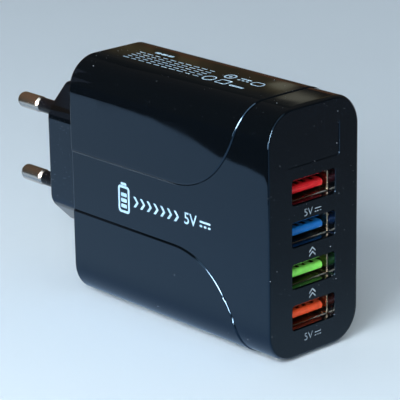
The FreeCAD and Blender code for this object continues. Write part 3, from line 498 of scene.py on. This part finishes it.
def sleeved_can(name, sleeve, stripe):
    """Shrink sleeve of a capacitor with a paler polarity stripe."""
    finish = Finish(name)
    bands = finish.add("TexWave", {"Vector": finish.place, "Scale": 48.0, "Distortion": 0.0},
                       bands_direction="Y")
    edge = finish.add("MapRange", {"Value": bands["Fac"], "From Min": 0.90, "From Max": 0.93})["Result"]
    uneven = finish.cloud(420.0, 0.40, 0.75)
    tone = finish.blend(uneven, sleeve, shade(sleeve, 1.4))
    tone = finish.blend(edge, tone, stripe)
    gloss = finish.level(uneven, 0.24, 0.36)
    return finish.end(Base_Color=tone, Roughness=gloss, Normal=finish.grain(1500.0, 0.01))


def assign(names, material):
    """Give CAD nodes a finish."""
    for name in names:
        slots = NODES[name].data.materials
        slots.clear()
        slots.append(material)


# Meshes for print and other pieces

def keep_piece(name, mesh, material):
    """Make a mesh in place a piece that rides with the charger."""
    mesh.name = name
    mesh.materials.clear()
    mesh.materials.append(material)
    piece = bpy.data.objects.new(name, mesh)
    bpy.context.scene.collection.objects.link(piece)
    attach(piece, "root")


def mesh_of(maker):
    """The plain mesh that an object evaluates to. The object is removed."""
    bpy.context.scene.collection.objects.link(maker)
    bpy.context.view_layer.update()
    evaluated = maker.evaluated_get(bpy.context.evaluated_depsgraph_get())
    mesh = bpy.data.meshes.new_from_object(evaluated)
    data = maker.data
    bpy.data.objects.remove(maker)
    store = bpy.data.meshes if isinstance(data, bpy.types.Mesh) else bpy.data.curves
    store.remove(data)
    return mesh


def mesh_from(work, name):
    """End a mesh in the making."""
    mesh = bpy.data.meshes.new(name)
    work.to_mesh(mesh)
    work.free()
    return mesh


def joined(meshes):
    """Several meshes as one."""
    work = bmesh.new()
    for mesh in meshes:
        work.from_mesh(mesh)
        bpy.data.meshes.remove(mesh)
    return mesh_from(work, "joined")


def ink_depth(sizes):
    """Half of the ink's whole thickness, for a flat curve that is filled both ways."""
    return (sizes.ink_height + sizes.ink_root) / 2


def flat_shape(outlines, depth):
    """A filled flat curve as a mesh. Outlines are in millimetres, and one inside another is a hole."""
    curve = bpy.data.curves.new("flat_shape", "CURVE")
    curve.dimensions = "2D"
    curve.fill_mode = "BOTH"
    curve.extrude = depth
    for outline in outlines:
        spline = curve.splines.new("POLY")
        spline.points.add(len(outline) - 1)
        for point, place in zip(spline.points, outline):
            point.co = (*mm(*place), 0.0, 1.0)
        spline.use_cyclic_u = True
    return mesh_of(bpy.data.objects.new("flat_shape", curve))


def flat_text(body, size, depth, boldness):
    """Digits and letters as a mesh, about their own middle. The boldness is in millimetres."""
    text = bpy.data.curves.new("flat_text", "FONT")
    text.body = body
    text.size = size
    text.extrude = depth
    text.offset = boldness * MM
    text.align_x = "CENTER"
    text.align_y = "CENTER"
    return mesh_of(bpy.data.objects.new("flat_text", text))


def rounded(width, height, radius, across=0.0, up=0.0, steps=6):
    """Outline of a rectangle with round corners."""
    points = []
    middle_x, middle_y = width / 2 - radius, height / 2 - radius
    for quarter, (side, rise) in enumerate(((1, 1), (-1, 1), (-1, -1), (1, -1))):
        for step in range(steps + 1):
            angle = math.radians(90 * (quarter + step / steps))
            points.append((across + side * middle_x + radius * math.cos(angle),
                           up + rise * middle_y + radius * math.sin(angle)))
    return points


def ring(radius, across=0.0, up=0.0, steps=40):
    """Outline of a circle."""
    turn = 2 * math.pi / steps
    return [(across + radius * math.cos(turn * step), up + radius * math.sin(turn * step))
            for step in range(steps)]


def chevron(width, height, stroke):
    """Outline of a chevron that points to the right."""
    half = height / 2
    left = -width / 2
    return [(left, half), (left + stroke, half), (width / 2, 0.0), (left + stroke, -half),
            (left, -half), (width / 2 - stroke, 0.0)]


def direct_current(width, stroke, gap, across=0.0, up=0.0):
    """Outlines of the direct current sign: a long bar over three short ones."""
    dash = width / 4.2
    corner = stroke * 0.3
    outlines = [rounded(width, stroke, corner, across, up + gap / 2, 2)]
    for place in (-1, 0, 1):
        middle = across + place * (width - dash) / 2
        outlines.append(rounded(dash, stroke, corner, middle, up - gap / 2, 2))
    return outlines


def moved(mesh, across, up):
    """A flat mesh moved in its own plane, by millimetres."""
    mesh.transform(Matrix.Translation(mm(across, up, 0.0)))
    return mesh


# Geometry Nodes for what repeats

def new_tree(name, **inputs):
    """An empty geometry tree with kinds of inputs, and what they give inside."""
    tree = bpy.data.node_groups.new(name, "GeometryNodeTree")
    for label, kind in inputs.items():
        tree.interface.new_socket(label, in_out="INPUT", socket_type=f"NodeSocket{kind}")
    tree.interface.new_socket("Geometry", in_out="OUTPUT", socket_type="NodeSocketGeometry")
    return tree, tree.nodes.new("NodeGroupInput").outputs


def end_tree(tree, take, values):
    """End a tree with instances made real, which get their finish."""
    instances = add_node(tree, "GeometryNodeInstanceOnPoints", values)
    real = add_node(tree, "GeometryNodeRealizeInstances", {"Geometry": instances.outputs["Instances"]})
    coat = add_node(tree, "GeometryNodeSetMaterial", {
        "Geometry": real.outputs["Geometry"], "Material": take["Finish"]})
    add_node(tree, "NodeGroupOutput", {"Geometry": coat.outputs["Geometry"]})
    return tree


def row_tree():
    """A row of equal marks along a step."""
    tree, take = new_tree("Row of Marks", Mark="Object", Count="Int", Start="Vector", Step="Vector",
                          Finish="Material")
    line = add_node(tree, "GeometryNodeMeshLine", {
        "Count": take["Count"], "Start Location": take["Start"], "Offset": take["Step"]}, mode="OFFSET")
    mark = add_node(tree, "GeometryNodeObjectInfo", {"Object": take["Mark"]})
    return end_tree(tree, take, {"Points": line.outputs["Mesh"], "Instance": mark.outputs["Geometry"]})


# A random node's inputs and output for plain numbers
RANDOM_LEAST, RANDOM_MOST, RANDOM_NUMBER = 2, 3, 1


def bars_tree():
    """Rows of bars of random length, as small print looks from afar."""
    tree, take = new_tree("Rows of Bars", Bar="Object", Rows="Int", Bars="Int", Leading="Float",
                          Pitch="Float", Shortest="Float", Longest="Float", Seed="Int", Finish="Material")
    reach = {}
    for count, pitch, axis in (("Bars", "Pitch", "X"), ("Rows", "Leading", "Y")):
        spaces = add_node(tree, "ShaderNodeMath", {0: take[count], 1: 1.0}, operation="SUBTRACT")
        whole = add_node(tree, "ShaderNodeMath", {0: spaces.outputs[0], 1: take[pitch]},
                         operation="MULTIPLY")
        reach[f"Vertices {axis}"] = take[count]
        reach[f"Size {axis}"] = whole.outputs[0]
    grid = add_node(tree, "GeometryNodeMeshGrid", reach)
    bar = add_node(tree, "GeometryNodeObjectInfo", {"Object": take["Bar"]})
    length = add_node(tree, "FunctionNodeRandomValue", {
        RANDOM_LEAST: take["Shortest"], RANDOM_MOST: take["Longest"], "Seed": take["Seed"]},
        data_type="FLOAT")
    scale = add_node(tree, "ShaderNodeCombineXYZ", {
        "X": length.outputs[RANDOM_NUMBER], "Y": 1.0, "Z": 1.0})
    return end_tree(tree, take, {"Points": grid.outputs["Mesh"], "Instance": bar.outputs["Geometry"],
                                 "Scale": scale.outputs["Vector"]})


def build_shared():
    """Build what several pieces share."""
    for name, build in (("dust", dust_group), ("cloud", cloud_group), ("grain", grain_group),
                        ("streak", streak_group), ("row", row_tree), ("bars", bars_tree)):
        SHARED[name] = build()


def grown(tree_name, pattern, pattern_input, **values):
    """Run a tree on a pattern mesh and return the plain mesh that it makes."""
    tree = SHARED[tree_name]
    sockets = {item.name: item.identifier for item in tree.interface.items_tree if item.in_out == "INPUT"}
    source = bpy.data.objects.new("pattern", pattern)
    carrier = bpy.data.objects.new("carrier", bpy.data.meshes.new("carrier"))
    modifier = carrier.modifiers.new("Repeat", "NODES")
    modifier.node_group = tree
    for key, value in {pattern_input: source, **values}.items():
        modifier[sockets[key]] = value
    mesh = mesh_of(carrier)
    bpy.data.objects.remove(source)
    bpy.data.meshes.remove(pattern)
    return mesh


def in_row(mark, count, start, step, finish):
    """Equal marks in a row, from the first one's place in steps."""
    return grown("row", mark, "Mark", Count=count, Start=start, Step=step, Finish=finish)


# Pieces

def housing_finish(colours):
    """Finish both housings."""
    assign(("front_housing", "rear_housing"), glossy_moulding(colours))


def pin_finish(colours):
    """Finish the mains pins and their sleeves."""
    assign(("line_pin", "neutral_pin"), nickel_plating(colours))
    assign(("line_pin_sleeve", "neutral_pin_sleeve"),
           dull_moulding("sleeve_black", (0.003, 0.004, 0.006), 0.22, shine=0.2))


# Spring leaves in the port shells, which fit the windows in the sheet
LEAF_WIDTH = 1.5 * MM
LEAF_LENGTH = 4.9 * MM
LEAF_SHEET = 0.28 * MM
LEAF_SETBACK = 3.1 * MM
LEAF_SPACING = 5.6 * MM
LEAF_DIP = 0.55 * MM
LEAF_TAPER = 0.18
LEAF_STATIONS = 9
LEAF_LOWEST = 0.8
LEAF_LIFT = 0.6


def spring_leaf(work, side, rise, wall):
    """One bent leaf: it dips into the port, lifts again at its end and gets narrower."""
    rings = []
    for station in range(LEAF_STATIONS):
        share = station / (LEAF_STATIONS - 1)
        bend = math.sin(math.pi * min(share / LEAF_LOWEST, 1.0) / 2) ** 2
        dip = LEAF_DIP * (bend - LEAF_LIFT * max(share - LEAF_LOWEST, 0.0) / (1.0 - LEAF_LOWEST))
        middle = Vector((side * LEAF_SPACING / 2, LEAF_SETBACK + LEAF_LENGTH * share,
                         rise * (wall - dip)))
        half = LEAF_WIDTH / 2 * (1.0 - LEAF_TAPER * share)
        corners = ((-half, -1), (half, -1), (half, 1), (-half, 1))
        rings.append([work.verts.new(middle + Vector((across, 0.0, face * LEAF_SHEET / 2)))
                      for across, face in corners])
    for first, second in zip(rings, rings[1:]):
        for corner in range(4):
            following = (corner + 1) % 4
            work.faces.new((first[corner], first[following], second[following], second[corner]))
    work.faces.new(rings[0][::-1])
    work.faces.new(rings[-1])


def leaf_set():
    """The four spring leaves of one shell, about the shell's middle at its mouth."""
    low, high = SHELLS[0]
    wall = (high.z - low.z) / 2 - LEAF_SHEET / 2
    work = bmesh.new()
    for side in (1, -1):
        for rise in (1, -1):
            spring_leaf(work, side, rise, wall)
    bmesh.ops.recalc_face_normals(work, faces=work.faces)
    return mesh_from(work, "leaf_set")


def port_pieces(colours):
    """Finish shells, insulators and contacts, and add the shells' spring leaves."""
    steel = bare_metal("port_shell_steel", colours.steel, (0.18, 0.28), spread=(0.30, 0.72),
                       across=(5200.0, 120.0, 5200.0), stain_scale=300.0, stain=0.70)
    assign([f"usb_shell_{number}" for number in PORT_NUMBERS], steel)
    assign([f"usb_contacts_{number}" for number in PORT_NUMBERS],
           bare_metal("contact_gold", (0.78, 0.53, 0.20), (0.20, 0.30)))
    tints = (colours.port_1, colours.port_2, colours.port_3, colours.port_4)
    for number, label, tint in zip(PORT_NUMBERS, ("red", "blue", "green", "orange"), tints):
        tongue = f"usb_tongue_{number}"
        assign([tongue], port_insulator(f"insulator_{label}", tint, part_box(tongue)[0].y))
    leaves = in_row(leaf_set(), len(PORTS), (0.0, SHELL_MOUTH, PORTS[0].z),
                    (0.0, 0.0, PORTS[1].z - PORTS[0].z), steel)
    keep_piece("port_spring_leaves", leaves, steel)


def side_place(behind, drop):
    """A place on the large side, in millimetres behind the port face and below the middle."""
    return ON_SIDE, (SIDE_FACE, PORT_FACE + behind * MM, MIDDLE - drop * MM)


def top_place(across, behind):
    """A place on the top, in millimetres from the middle and behind the port face."""
    return ON_TOP, (across * MM, PORT_FACE + behind * MM, TOP_FACE)


def print_on(name, mesh, place, ink, sizes):
    """Lay flat artwork on a face, sunk so that only the ink's height stands proud."""
    turn, spot = place
    sink = (sizes.ink_height - sizes.ink_root) / 2
    mesh.transform(Matrix.Translation((0.0, 0.0, sink)))
    mesh.transform(Matrix.Translation(spot) @ turn.to_4x4())
    keep_piece(name, mesh, ink)


def side_print(ink, sizes):
    """Battery sign, a row of chevrons and a rating on the large side's strip."""
    depth = ink_depth(sizes)
    battery = flat_shape([rounded(4.0, 6.6, 0.9), rounded(2.8, 5.4, 0.45),
                          rounded(1.9, 0.62, 0.2, up=3.72, steps=3)], depth)
    level = flat_shape([rounded(1.95, 0.92, 0.2, steps=3)], depth)
    levels = in_row(level, 3, mm(0.0, -1.62, 0.0), mm(0.0, 1.36, 0.0), ink)
    sign = moved(joined([battery, levels]), 0.0, -0.3)
    print_on("side_battery_sign", sign, side_place(behind=47.35, drop=0.55), ink, sizes)
    arrow = flat_shape([chevron(1.75, 2.5, 0.75)], depth)
    step = 2.3
    first = -step * (sizes.chevrons - 1) / 2
    arrows = in_row(arrow, sizes.chevrons, mm(first, 0.0, 0.0), mm(step, 0.0, 0.0), ink)
    print_on("side_chevrons", arrows, side_place(behind=36.2, drop=0.65), ink, sizes)
    rating = moved(flat_text("5V", sizes.rating_size, depth, 0.03), -2.3, 0.0)
    current = moved(flat_shape(direct_current(3.5, 0.5, 1.0), depth), 2.6, 0.0)
    print_on("side_rating", joined([rating, current]), side_place(behind=22.4, drop=0.45), ink, sizes)


# How far the marks stand beside the middle of the ports, and below halfway to the next port
MARK_SHIFT, RATING_DROP, ARROWS_DROP = mm(-0.5, 0.45, 0.15)
RATED_PORTS = (1, 4)


def port_marks(ink, sizes):
    """A small mark below each port: the rating, or a pair of chevrons."""
    depth = ink_depth(sizes)
    rise = (PORTS[0].z - PORTS[1].z) / 2
    for number, port in zip(PORT_NUMBERS, PORTS):
        if number in RATED_PORTS:
            rating = moved(flat_text("5V", sizes.port_mark_size, depth, -0.025), -1.25, 0.0)
            current = moved(flat_shape(direct_current(2.0, 0.20, 0.68), depth), 1.75, 0.0)
            mark = joined([rating, current])
            drop = rise + RATING_DROP
        else:
            arrow = flat_shape([chevron(1.30, 1.9, 0.40)], depth)
            mark = in_row(arrow, 2, mm(0.0, -0.55, 0.0), mm(0.95, 0.0, 0.0), ink)
            moved(mark, -0.475, 0.55)
            mark.transform(Matrix.Rotation(math.radians(90), 4, "Z"))
            drop = rise + ARROWS_DROP
        place = (ON_FRONT, (MARK_SHIFT, PORT_FACE, port.z - drop))
        print_on(f"port_mark_{number}", mark, place, ink, sizes)


def top_print(ink, sizes):
    """Rows of small bars and a few plain shapes on the top."""
    depth = ink_depth(sizes)
    bar = flat_shape([rounded(2.1, 0.30, 0.1, steps=3)], depth)
    bars = grown("bars", bar, "Bar", Rows=sizes.rows, Bars=sizes.bars, Leading=1.3 * MM,
                 Pitch=2.65 * MM, Shortest=0.72, Longest=1.08, Seed=sizes.seed, Finish=ink)
    print_on("top_small_bars", bars, top_place(across=-1.35, behind=45.3), ink, sizes)
    heading = flat_shape([rounded(1.8, 1.0, 0.25, steps=3)], depth)
    headings = in_row(heading, 3, mm(-2.2, 0.0, 0.0), mm(2.2, 0.0, 0.0), ink)
    print_on("top_heading_bars", headings, top_place(across=3.4, behind=52.0), ink, sizes)
    shapes = [
        [ring(1.75, -6.0, -1.9), ring(1.36, -6.0, -1.9)],
        [rounded(3.4, 3.0, 0.5, -1.4, -1.9), rounded(2.7, 2.3, 0.25, -1.4, -1.9)],
        [rounded(4.4, 0.8, 0.2, 3.6, -2.7, 3)],
        [ring(1.55, -3.4, 2.2), ring(1.1, -3.4, 2.2), ring(0.4, -3.4, 2.2, 16)],
        direct_current(3.4, 0.5, 1.1, 1.2, 2.2),
        [rounded(3.6, 2.6, 1.2, 5.6, 1.9), rounded(2.9, 1.9, 0.85, 5.6, 1.9)],
    ]
    signs = joined([flat_shape(outlines, depth) for outlines in shapes])
    print_on("top_plain_signs", signs, top_place(across=-1.3, behind=23.6), ink, sizes)


def inside_finish():
    """Finish the board and all that stands on it."""
    finishes = (
        (("main_board",), board_laminate()),
        (("line_blade", "neutral_blade"), bare_metal("spring_bronze", (0.70, 0.44, 0.22), (0.28, 0.42))),
        (("transformer_core", "input_choke"),
         dull_moulding("ferrite_grey", (0.045, 0.043, 0.045), 0.60, grain=1800.0, depth=0.015)),
        (("transformer_bobbin",), dull_moulding("bobbin_black", (0.016, 0.015, 0.015), 0.48)),
        (("transformer_winding",), wound_tape()),
        (("input_capacitor_1", "input_capacitor_2"),
         sleeved_can("can_sleeve_black", (0.012, 0.014, 0.020), (0.50, 0.45, 0.30))),
        (("output_capacitor_1", "output_capacitor_2"),
         bare_metal("can_aluminium", (0.66, 0.67, 0.69), (0.26, 0.39), (3600.0, 3600.0, 140.0))),
        (("fuse",), dull_moulding("fuse_case_brown", (0.075, 0.028, 0.014), 0.42)),
        (("safety_capacitor",),
         dull_moulding("disc_coat_blue", (0.020, 0.105, 0.34), 0.30, grain=1500.0)),
        (("bridge_rectifier", "optocoupler", "output_rectifier", "port_chip_1", "port_chip_2",
          "controller_chip"),
         dull_moulding("chip_compound", (0.014, 0.014, 0.016), 0.55, grain=2600.0, depth=0.01)),
    )
    for names, material in finishes:
        assign(names, material)


# Stage: the floor, and sheets and cards that show only in the gloss, in metres

# Away from the port face on the mirrored floor, and across the top in the mirrored room
FRONT_AWAY = (0.673, -0.740, 0.0)
TOP_ACROSS = (1.0, 0.0, -2.503)
FLOOR_REACH = 3.0
DOME_RADIUS = 1.1
SHEET_HEIGHT = 0.0006
FLOOR = [(-FLOOR_REACH, -FLOOR_REACH, 0), (FLOOR_REACH, -FLOOR_REACH, 0),
         (FLOOR_REACH, FLOOR_REACH, 0), (-FLOOR_REACH, FLOOR_REACH, 0)]
TABLE_END = [(across, along, SHEET_HEIGHT) for across, along in (
    (-0.0960, -0.060), (-0.1035, 0.020), (-0.1085, 0.0469), (-0.1113, 0.0571), (-0.1126, 0.0693),
    (-0.1195, 0.0905), (-0.1250, 0.1119), (-0.1264, 0.1391), (-0.1270, 0.1552), (-0.16, 0.40), (-0.6, 3.0),
    (-3.0, 3.0), (-3.0, -0.060))]
FRONT_SHADE = [(across, along, SHEET_HEIGHT) for across, along in (
    (-0.0145, -0.0518), (1.5, -0.0518), (1.5, -1.5), (-0.0145, -1.5))]
TABLE_BESIDE = [(across, along, SHEET_HEIGHT / 2) for across, along in (
    (-0.30, -0.30), (-0.010, -0.30), (-0.010, 0.40), (-0.30, 0.40))]
WINDOW = [(-0.55, -0.36, 0.05), (-0.55, 0.03, 0.05), (-0.55, 0.03, 0.50), (-0.55, -0.36, 0.50)]
WARM_BACKDROP = [(0.08, 0.2, 0.08), (0.34, 0.2, 0.08), (0.34, 0.2, 0.22), (0.08, 0.2, 0.22)]
CEILING = [(-0.75, -0.45, 0.8), (0.15, -0.45, 0.8), (0.15, 0.15, 0.8), (-0.75, 0.15, 0.8)]
WINDOW_SILL = [(-0.17, -0.01, 0.001), (-0.17, 0.07, 0.001), (-0.17, 0.07, 0.055), (-0.17, -0.01, 0.055)]
REAR_CARD = [(across, 0.09, up) for across, up in (
    (-0.080, 0.042), (-0.052, 0.042), (-0.052, 0.025), (0.045, 0.025), (0.045, 0.088), (-0.018, 0.088),
    (-0.018, 0.115), (-0.052, 0.115), (-0.062, 0.100), (-0.070, 0.088), (-0.080, 0.088))]


def stage_object(name, mesh, material, seen=True):
    """A floor or a card of the studio. A card that isn't seen shows only in reflections."""
    mesh.materials.append(material)
    made = bpy.data.objects.new(name, mesh)
    bpy.context.scene.collection.objects.link(made)
    for ray in ("camera", "diffuse", "shadow", "transmission"):
        setattr(made, f"visible_{ray}", seen)


def flat_sheet(name, corners):
    """A flat sheet between corners."""
    mesh = bpy.data.meshes.new(name)
    mesh.from_pydata(corners, [], [range(len(corners))])
    return mesh


def floor_material(colour):
    """Pale painted floor with a barely uneven tone."""
    finish = Finish("pale_floor")
    tone = finish.blend(finish.cloud(6.0, 0.30, 0.75), colour, shade(colour, 0.985))
    return finish.end(Base_Color=tone, Roughness=0.85, Specular_IOR_Level=0.0)


class Glow(Finish):
    """A glowing card or backdrop."""

    kind = "Emission"


def layered(name, base, *layers):
    """A card with a base tone, over which others come in from a start to an end along a direction."""
    glow = Glow(name)
    tone = base
    for direction, start, end, colour in layers:
        tone = glow.blend(glow.along(direction, start, end), tone, colour)
    return glow.end(Color=tone)


# Patches in the warm room: their colour, and the start, end and softness of each across the top and upwards
WARM_PATCHES = (
    ((0.022, 0.022, 0.022), (-0.1420, -0.1330, 0.002), (0.1535, 0.1640, 0.0010)),
    ((0.42, 0.39, 0.27), (-0.1445, -0.1365, 0.002), (0.1495, 0.1534, 0.0010)),
    ((0.32, 0.30, 0.225), (-0.1535, -0.1425, 0.002), (0.1552, 0.1606, 0.0008)),
)


def warm_card():
    """The warm room behind, which the top mirrors: brown at the far edge, with patches in front."""
    glow = Glow("warm_card")
    across = glow.along(TOP_ACROSS, -0.156, -0.142)
    tone = glow.blend(across, (0.035, 0.036, 0.034), (0.155, 0.122, 0.058))
    tone = glow.blend(glow.along(TOP_ACROSS, -0.141, -0.135), tone, (0.210, 0.085, 0.042))
    dim = glow.blend(across, (0.030, 0.032, 0.031), (0.085, 0.066, 0.036))
    noise = glow.add("TexNoise", {"Vector": glow.place, "Scale": 60.0, "Detail": 2.0})
    tone = glow.blend(glow.slope(noise["Fac"], 0.40, 0.62), tone, dim)
    for colour, over_top, upwards in WARM_PATCHES:
        for direction, (start, end, soft) in ((TOP_ACROSS, over_top), (ALONG_Z, upwards)):
            colour = glow.blend(glow.along(direction, start - soft, start + soft), tone, colour)
            colour = glow.blend(glow.along(direction, end + soft, end - soft), tone, colour)
        tone = colour
    return glow.end(Color=tone)


def room_dome(radius):
    """The upper half of a large ball round the charger."""
    work = bmesh.new()
    bmesh.ops.create_uvsphere(work, u_segments=48, v_segments=24, radius=radius)
    lower = [vertex for vertex in work.verts if vertex.co.z < -0.001]
    bmesh.ops.delete(work, geom=lower, context="VERTS")
    return mesh_from(work, "room_dome")


def place_cards():
    """What the gloss mirrors: the table, the floor in front, the window, the ceiling and the room."""
    pale = (0.24, 0.21, 0.215)
    cards = (
        ("dark_table_end", TABLE_END, layered(
            "dark_card", (0.034, 0.042, 0.050), ((-0.7, 0.7, 0.0), 0.15, 0.9, (0.050, 0.056, 0.064)))),
        ("front_shade", FRONT_SHADE, layered(
            "front_card", (0.44, 0.47, 0.47), (FRONT_AWAY, 0.030, 0.110, (0.27, 0.27, 0.26)),
            (FRONT_AWAY, 0.090, 0.210, (0.19, 0.165, 0.155)))),
        ("table_beside", TABLE_BESIDE, layered(
            "table_card", (0.34, 0.50, 0.70), (LEFTWARDS, 0.016, 0.036, (0.60, 0.76, 0.90)),
            ((-1.0, 0.25, 0.0), 0.03, 0.12, (0.57, 0.69, 0.79)))),
        ("window_pane", WINDOW, layered(
            "window_card", (28.0, 22.0, 18.0), (ALONG_Z, 0.05, 0.12, (78.0, 60.0, 48.0)))),
        ("warm_backdrop", WARM_BACKDROP, warm_card()),
        ("window_sill", WINDOW_SILL, layered(
            "sill_card", (2.2, 2.3, 2.3), (ALONG_Z, 0.0, 0.03, (4.5, 4.7, 4.8)))),
        ("ceiling_panel", CEILING, layered(
            "ceiling_card", (3.2, 3.4, 3.5), (ALONG_X, -0.75, 0.15, (2.4, 2.5, 2.5)))),
        ("rear_backdrop", REAR_CARD, layered(
            "rear_card", (0.070, 0.062, 0.044), (ALONG_Z, 0.030, 0.082, (0.185, 0.098, 0.050)),
            (LEFTWARDS, 0.049, 0.053, pale), (ALONG_Z, 0.086, 0.094, pale))),
    )
    for name, corners, material in cards:
        stage_object(name, flat_sheet(name, corners), material, seen=False)
    dim_room = layered("dim_room", (0.040, 0.048, 0.058), (ALONG_Z, 0.04, 0.24, (0.068, 0.064, 0.058)))
    stage_object("room_dome", room_dome(DOME_RADIUS), dim_room, seen=False)


def place_camera(stage):
    """The camera at the photograph's place and angle."""
    place = Matrix.Translation(stage.camera_place)
    for angle, axis in (
            (stage.azimuth, "Z"), (math.radians(90) - stage.elevation, "X"), (stage.roll, "Z")):
        place = place @ Matrix.Rotation(angle, 4, axis)
    data = bpy.data.cameras.new("photo_camera")
    data.sensor_width = 36.0
    data.lens = stage.lens
    data.clip_start = 0.01
    data.clip_end = 20.0
    camera = bpy.data.objects.new("photo_camera", data)
    camera.matrix_world = place
    bpy.context.scene.collection.objects.link(camera)
    bpy.context.scene.camera = camera


def area_lamp(name, place, target, size, power, colour):
    """A soft rectangular lamp that faces a target."""
    data = bpy.data.lights.new(name, "AREA")
    data.shape = "RECTANGLE"
    data.size, data.size_y = size
    data.energy = power
    data.color = colour
    lamp = bpy.data.objects.new(name, data)
    lamp.location = place
    lamp.rotation_mode = "QUATERNION"
    lamp.rotation_quaternion = (Vector(target) - Vector(place)).to_track_quat("-Z", "Y")
    bpy.context.scene.collection.objects.link(lamp)


def soft_sky(strength):
    """Even light from all round, cool on the window's side and warm on the other, seen as plain pale."""
    world = bpy.data.worlds.new("soft_sky")
    world.use_nodes = True
    sky = Nodes(world.node_tree)
    sky.tree.nodes.clear()
    across = sky.add("SeparateXYZ", {0: sky.add("TexCoord")["Generated"]})["X"]
    tone = sky.blend(sky.slope(across, -0.5, 0.5), (1.00, 1.08, 1.22), (0.95, 0.89, 0.80))
    light = sky.add("Background", {"Color": tone, "Strength": strength})[0]
    plain = sky.add("Background", {"Color": (0.50, 0.58, 0.66)})[0]
    path = sky.add("LightPath")
    seen = sky.calculate("MAXIMUM", path["Is Camera Ray"], path["Is Glossy Ray"])
    sky.add("OutputWorld", {"Surface": sky.add("MixShader", {0: seen, 1: light, 2: plain})[0]})
    return world


def build_stage(stage):
    """Floor, cards, lamps, sky and camera."""
    stage_object("floor", flat_sheet("floor", FLOOR), floor_material(stage.floor))
    place_cards()
    area_lamp("window_lamp", place=(-0.50, -0.17, 0.32), target=(0.0, -0.02, 0.03), size=(0.30, 0.40),
              power=stage.window_power, colour=(0.99, 1.0, 1.01))
    area_lamp("front_fill", place=(-0.62, -0.60, 0.28), target=(0.0, -0.05, 0.03), size=(0.30, 0.22),
              power=stage.fill_power, colour=(1.0, 1.0, 1.0))
    bpy.context.scene.world = soft_sky(stage.sky)
    bpy.context.scene.view_settings.view_transform = "Standard"
    place_camera(stage)


# Operators

class CHARGER_OT_housings(bpy.types.Operator):
    """Finish the front and rear housings"""

    bl_idname = "charger.housings"
    bl_label = "Housings"

    def execute(self, context):
        housing_finish(context.scene.charger_colours)
        return {"FINISHED"}


class CHARGER_OT_pins(bpy.types.Operator):
    """Finish the mains pins and sleeves"""

    bl_idname = "charger.pins"
    bl_label = "Mains Pins"

    def execute(self, context):
        pin_finish(context.scene.charger_colours)
        return {"FINISHED"}


class CHARGER_OT_ports(bpy.types.Operator):
    """Finish the ports and add their spring leaves"""

    bl_idname = "charger.ports"
    bl_label = "Ports"

    def execute(self, context):
        port_pieces(context.scene.charger_colours)
        return {"FINISHED"}


class CHARGER_OT_print(bpy.types.Operator):
    """Print the side, the port face and the top"""

    bl_idname = "charger.print"
    bl_label = "Print"

    def execute(self, context):
        colours = context.scene.charger_colours
        sizes = context.scene.charger_print
        ink = print_ink("light_print_ink", colours.ink)
        side_print(ink, sizes)
        top_print(ink, sizes)
        # The port marks take the darker copy of the ink: painted shade of the port face.
        port_marks(print_ink("port_print_ink", colours.shaded_port_ink), sizes)
        return {"FINISHED"}


class CHARGER_OT_inside(bpy.types.Operator):
    """Finish the board and the parts on it"""

    bl_idname = "charger.inside"
    bl_label = "Inside"

    def execute(self, context):
        inside_finish()
        return {"FINISHED"}


class CHARGER_OT_stage(bpy.types.Operator):
    """Build the floor, the light and the camera"""

    bl_idname = "charger.stage"
    bl_label = "Stage"

    def execute(self, context):
        build_stage(context.scene.charger_stage)
        return {"FINISHED"}


OPERATORS = (CHARGER_OT_housings, CHARGER_OT_pins, CHARGER_OT_ports, CHARGER_OT_print,
             CHARGER_OT_inside, CHARGER_OT_stage)
SETTINGS = (
    ("charger_colours", ChargerColours), ("charger_print", ChargerPrint), ("charger_stage", ChargerStage))


class CHARGER_PT_panel(bpy.types.Panel):
    """Lists the charger's pieces and settings"""

    bl_idname = "CHARGER_PT_panel"
    bl_label = "Wall Charger"
    bl_space_type = "VIEW_3D"
    bl_region_type = "UI"
    bl_category = "Charger"

    def draw(self, context):
        for operator in OPERATORS:
            self.layout.operator(operator.bl_idname)
        for key, kind in SETTINGS:
            box = self.layout.box()
            for label in kind.__annotations__:
                box.prop(getattr(context.scene, key), label)


CLASSES = (ChargerColours, ChargerPrint, ChargerStage, *OPERATORS, CHARGER_PT_panel)


def register():
    """Register the classes and hang the settings on the scene."""
    for item in CLASSES:
        bpy.utils.register_class(item)
    for key, kind in SETTINGS:
        setattr(bpy.types.Scene, key, bpy.props.PointerProperty(type=kind))


def unregister():
    """Take the settings and the classes away again."""
    for key, _ in SETTINGS:
        delattr(bpy.types.Scene, key)
    for item in reversed(CLASSES):
        bpy.utils.unregister_class(item)


def main():
    """Dress the charger."""
    register()
    build_shared()
    bpy.ops.charger.housings()
    bpy.ops.charger.pins()
    bpy.ops.charger.ports()
    bpy.ops.charger.print()
    bpy.ops.charger.inside()
    bpy.ops.charger.stage()


if __name__ == "__main__":
    main()
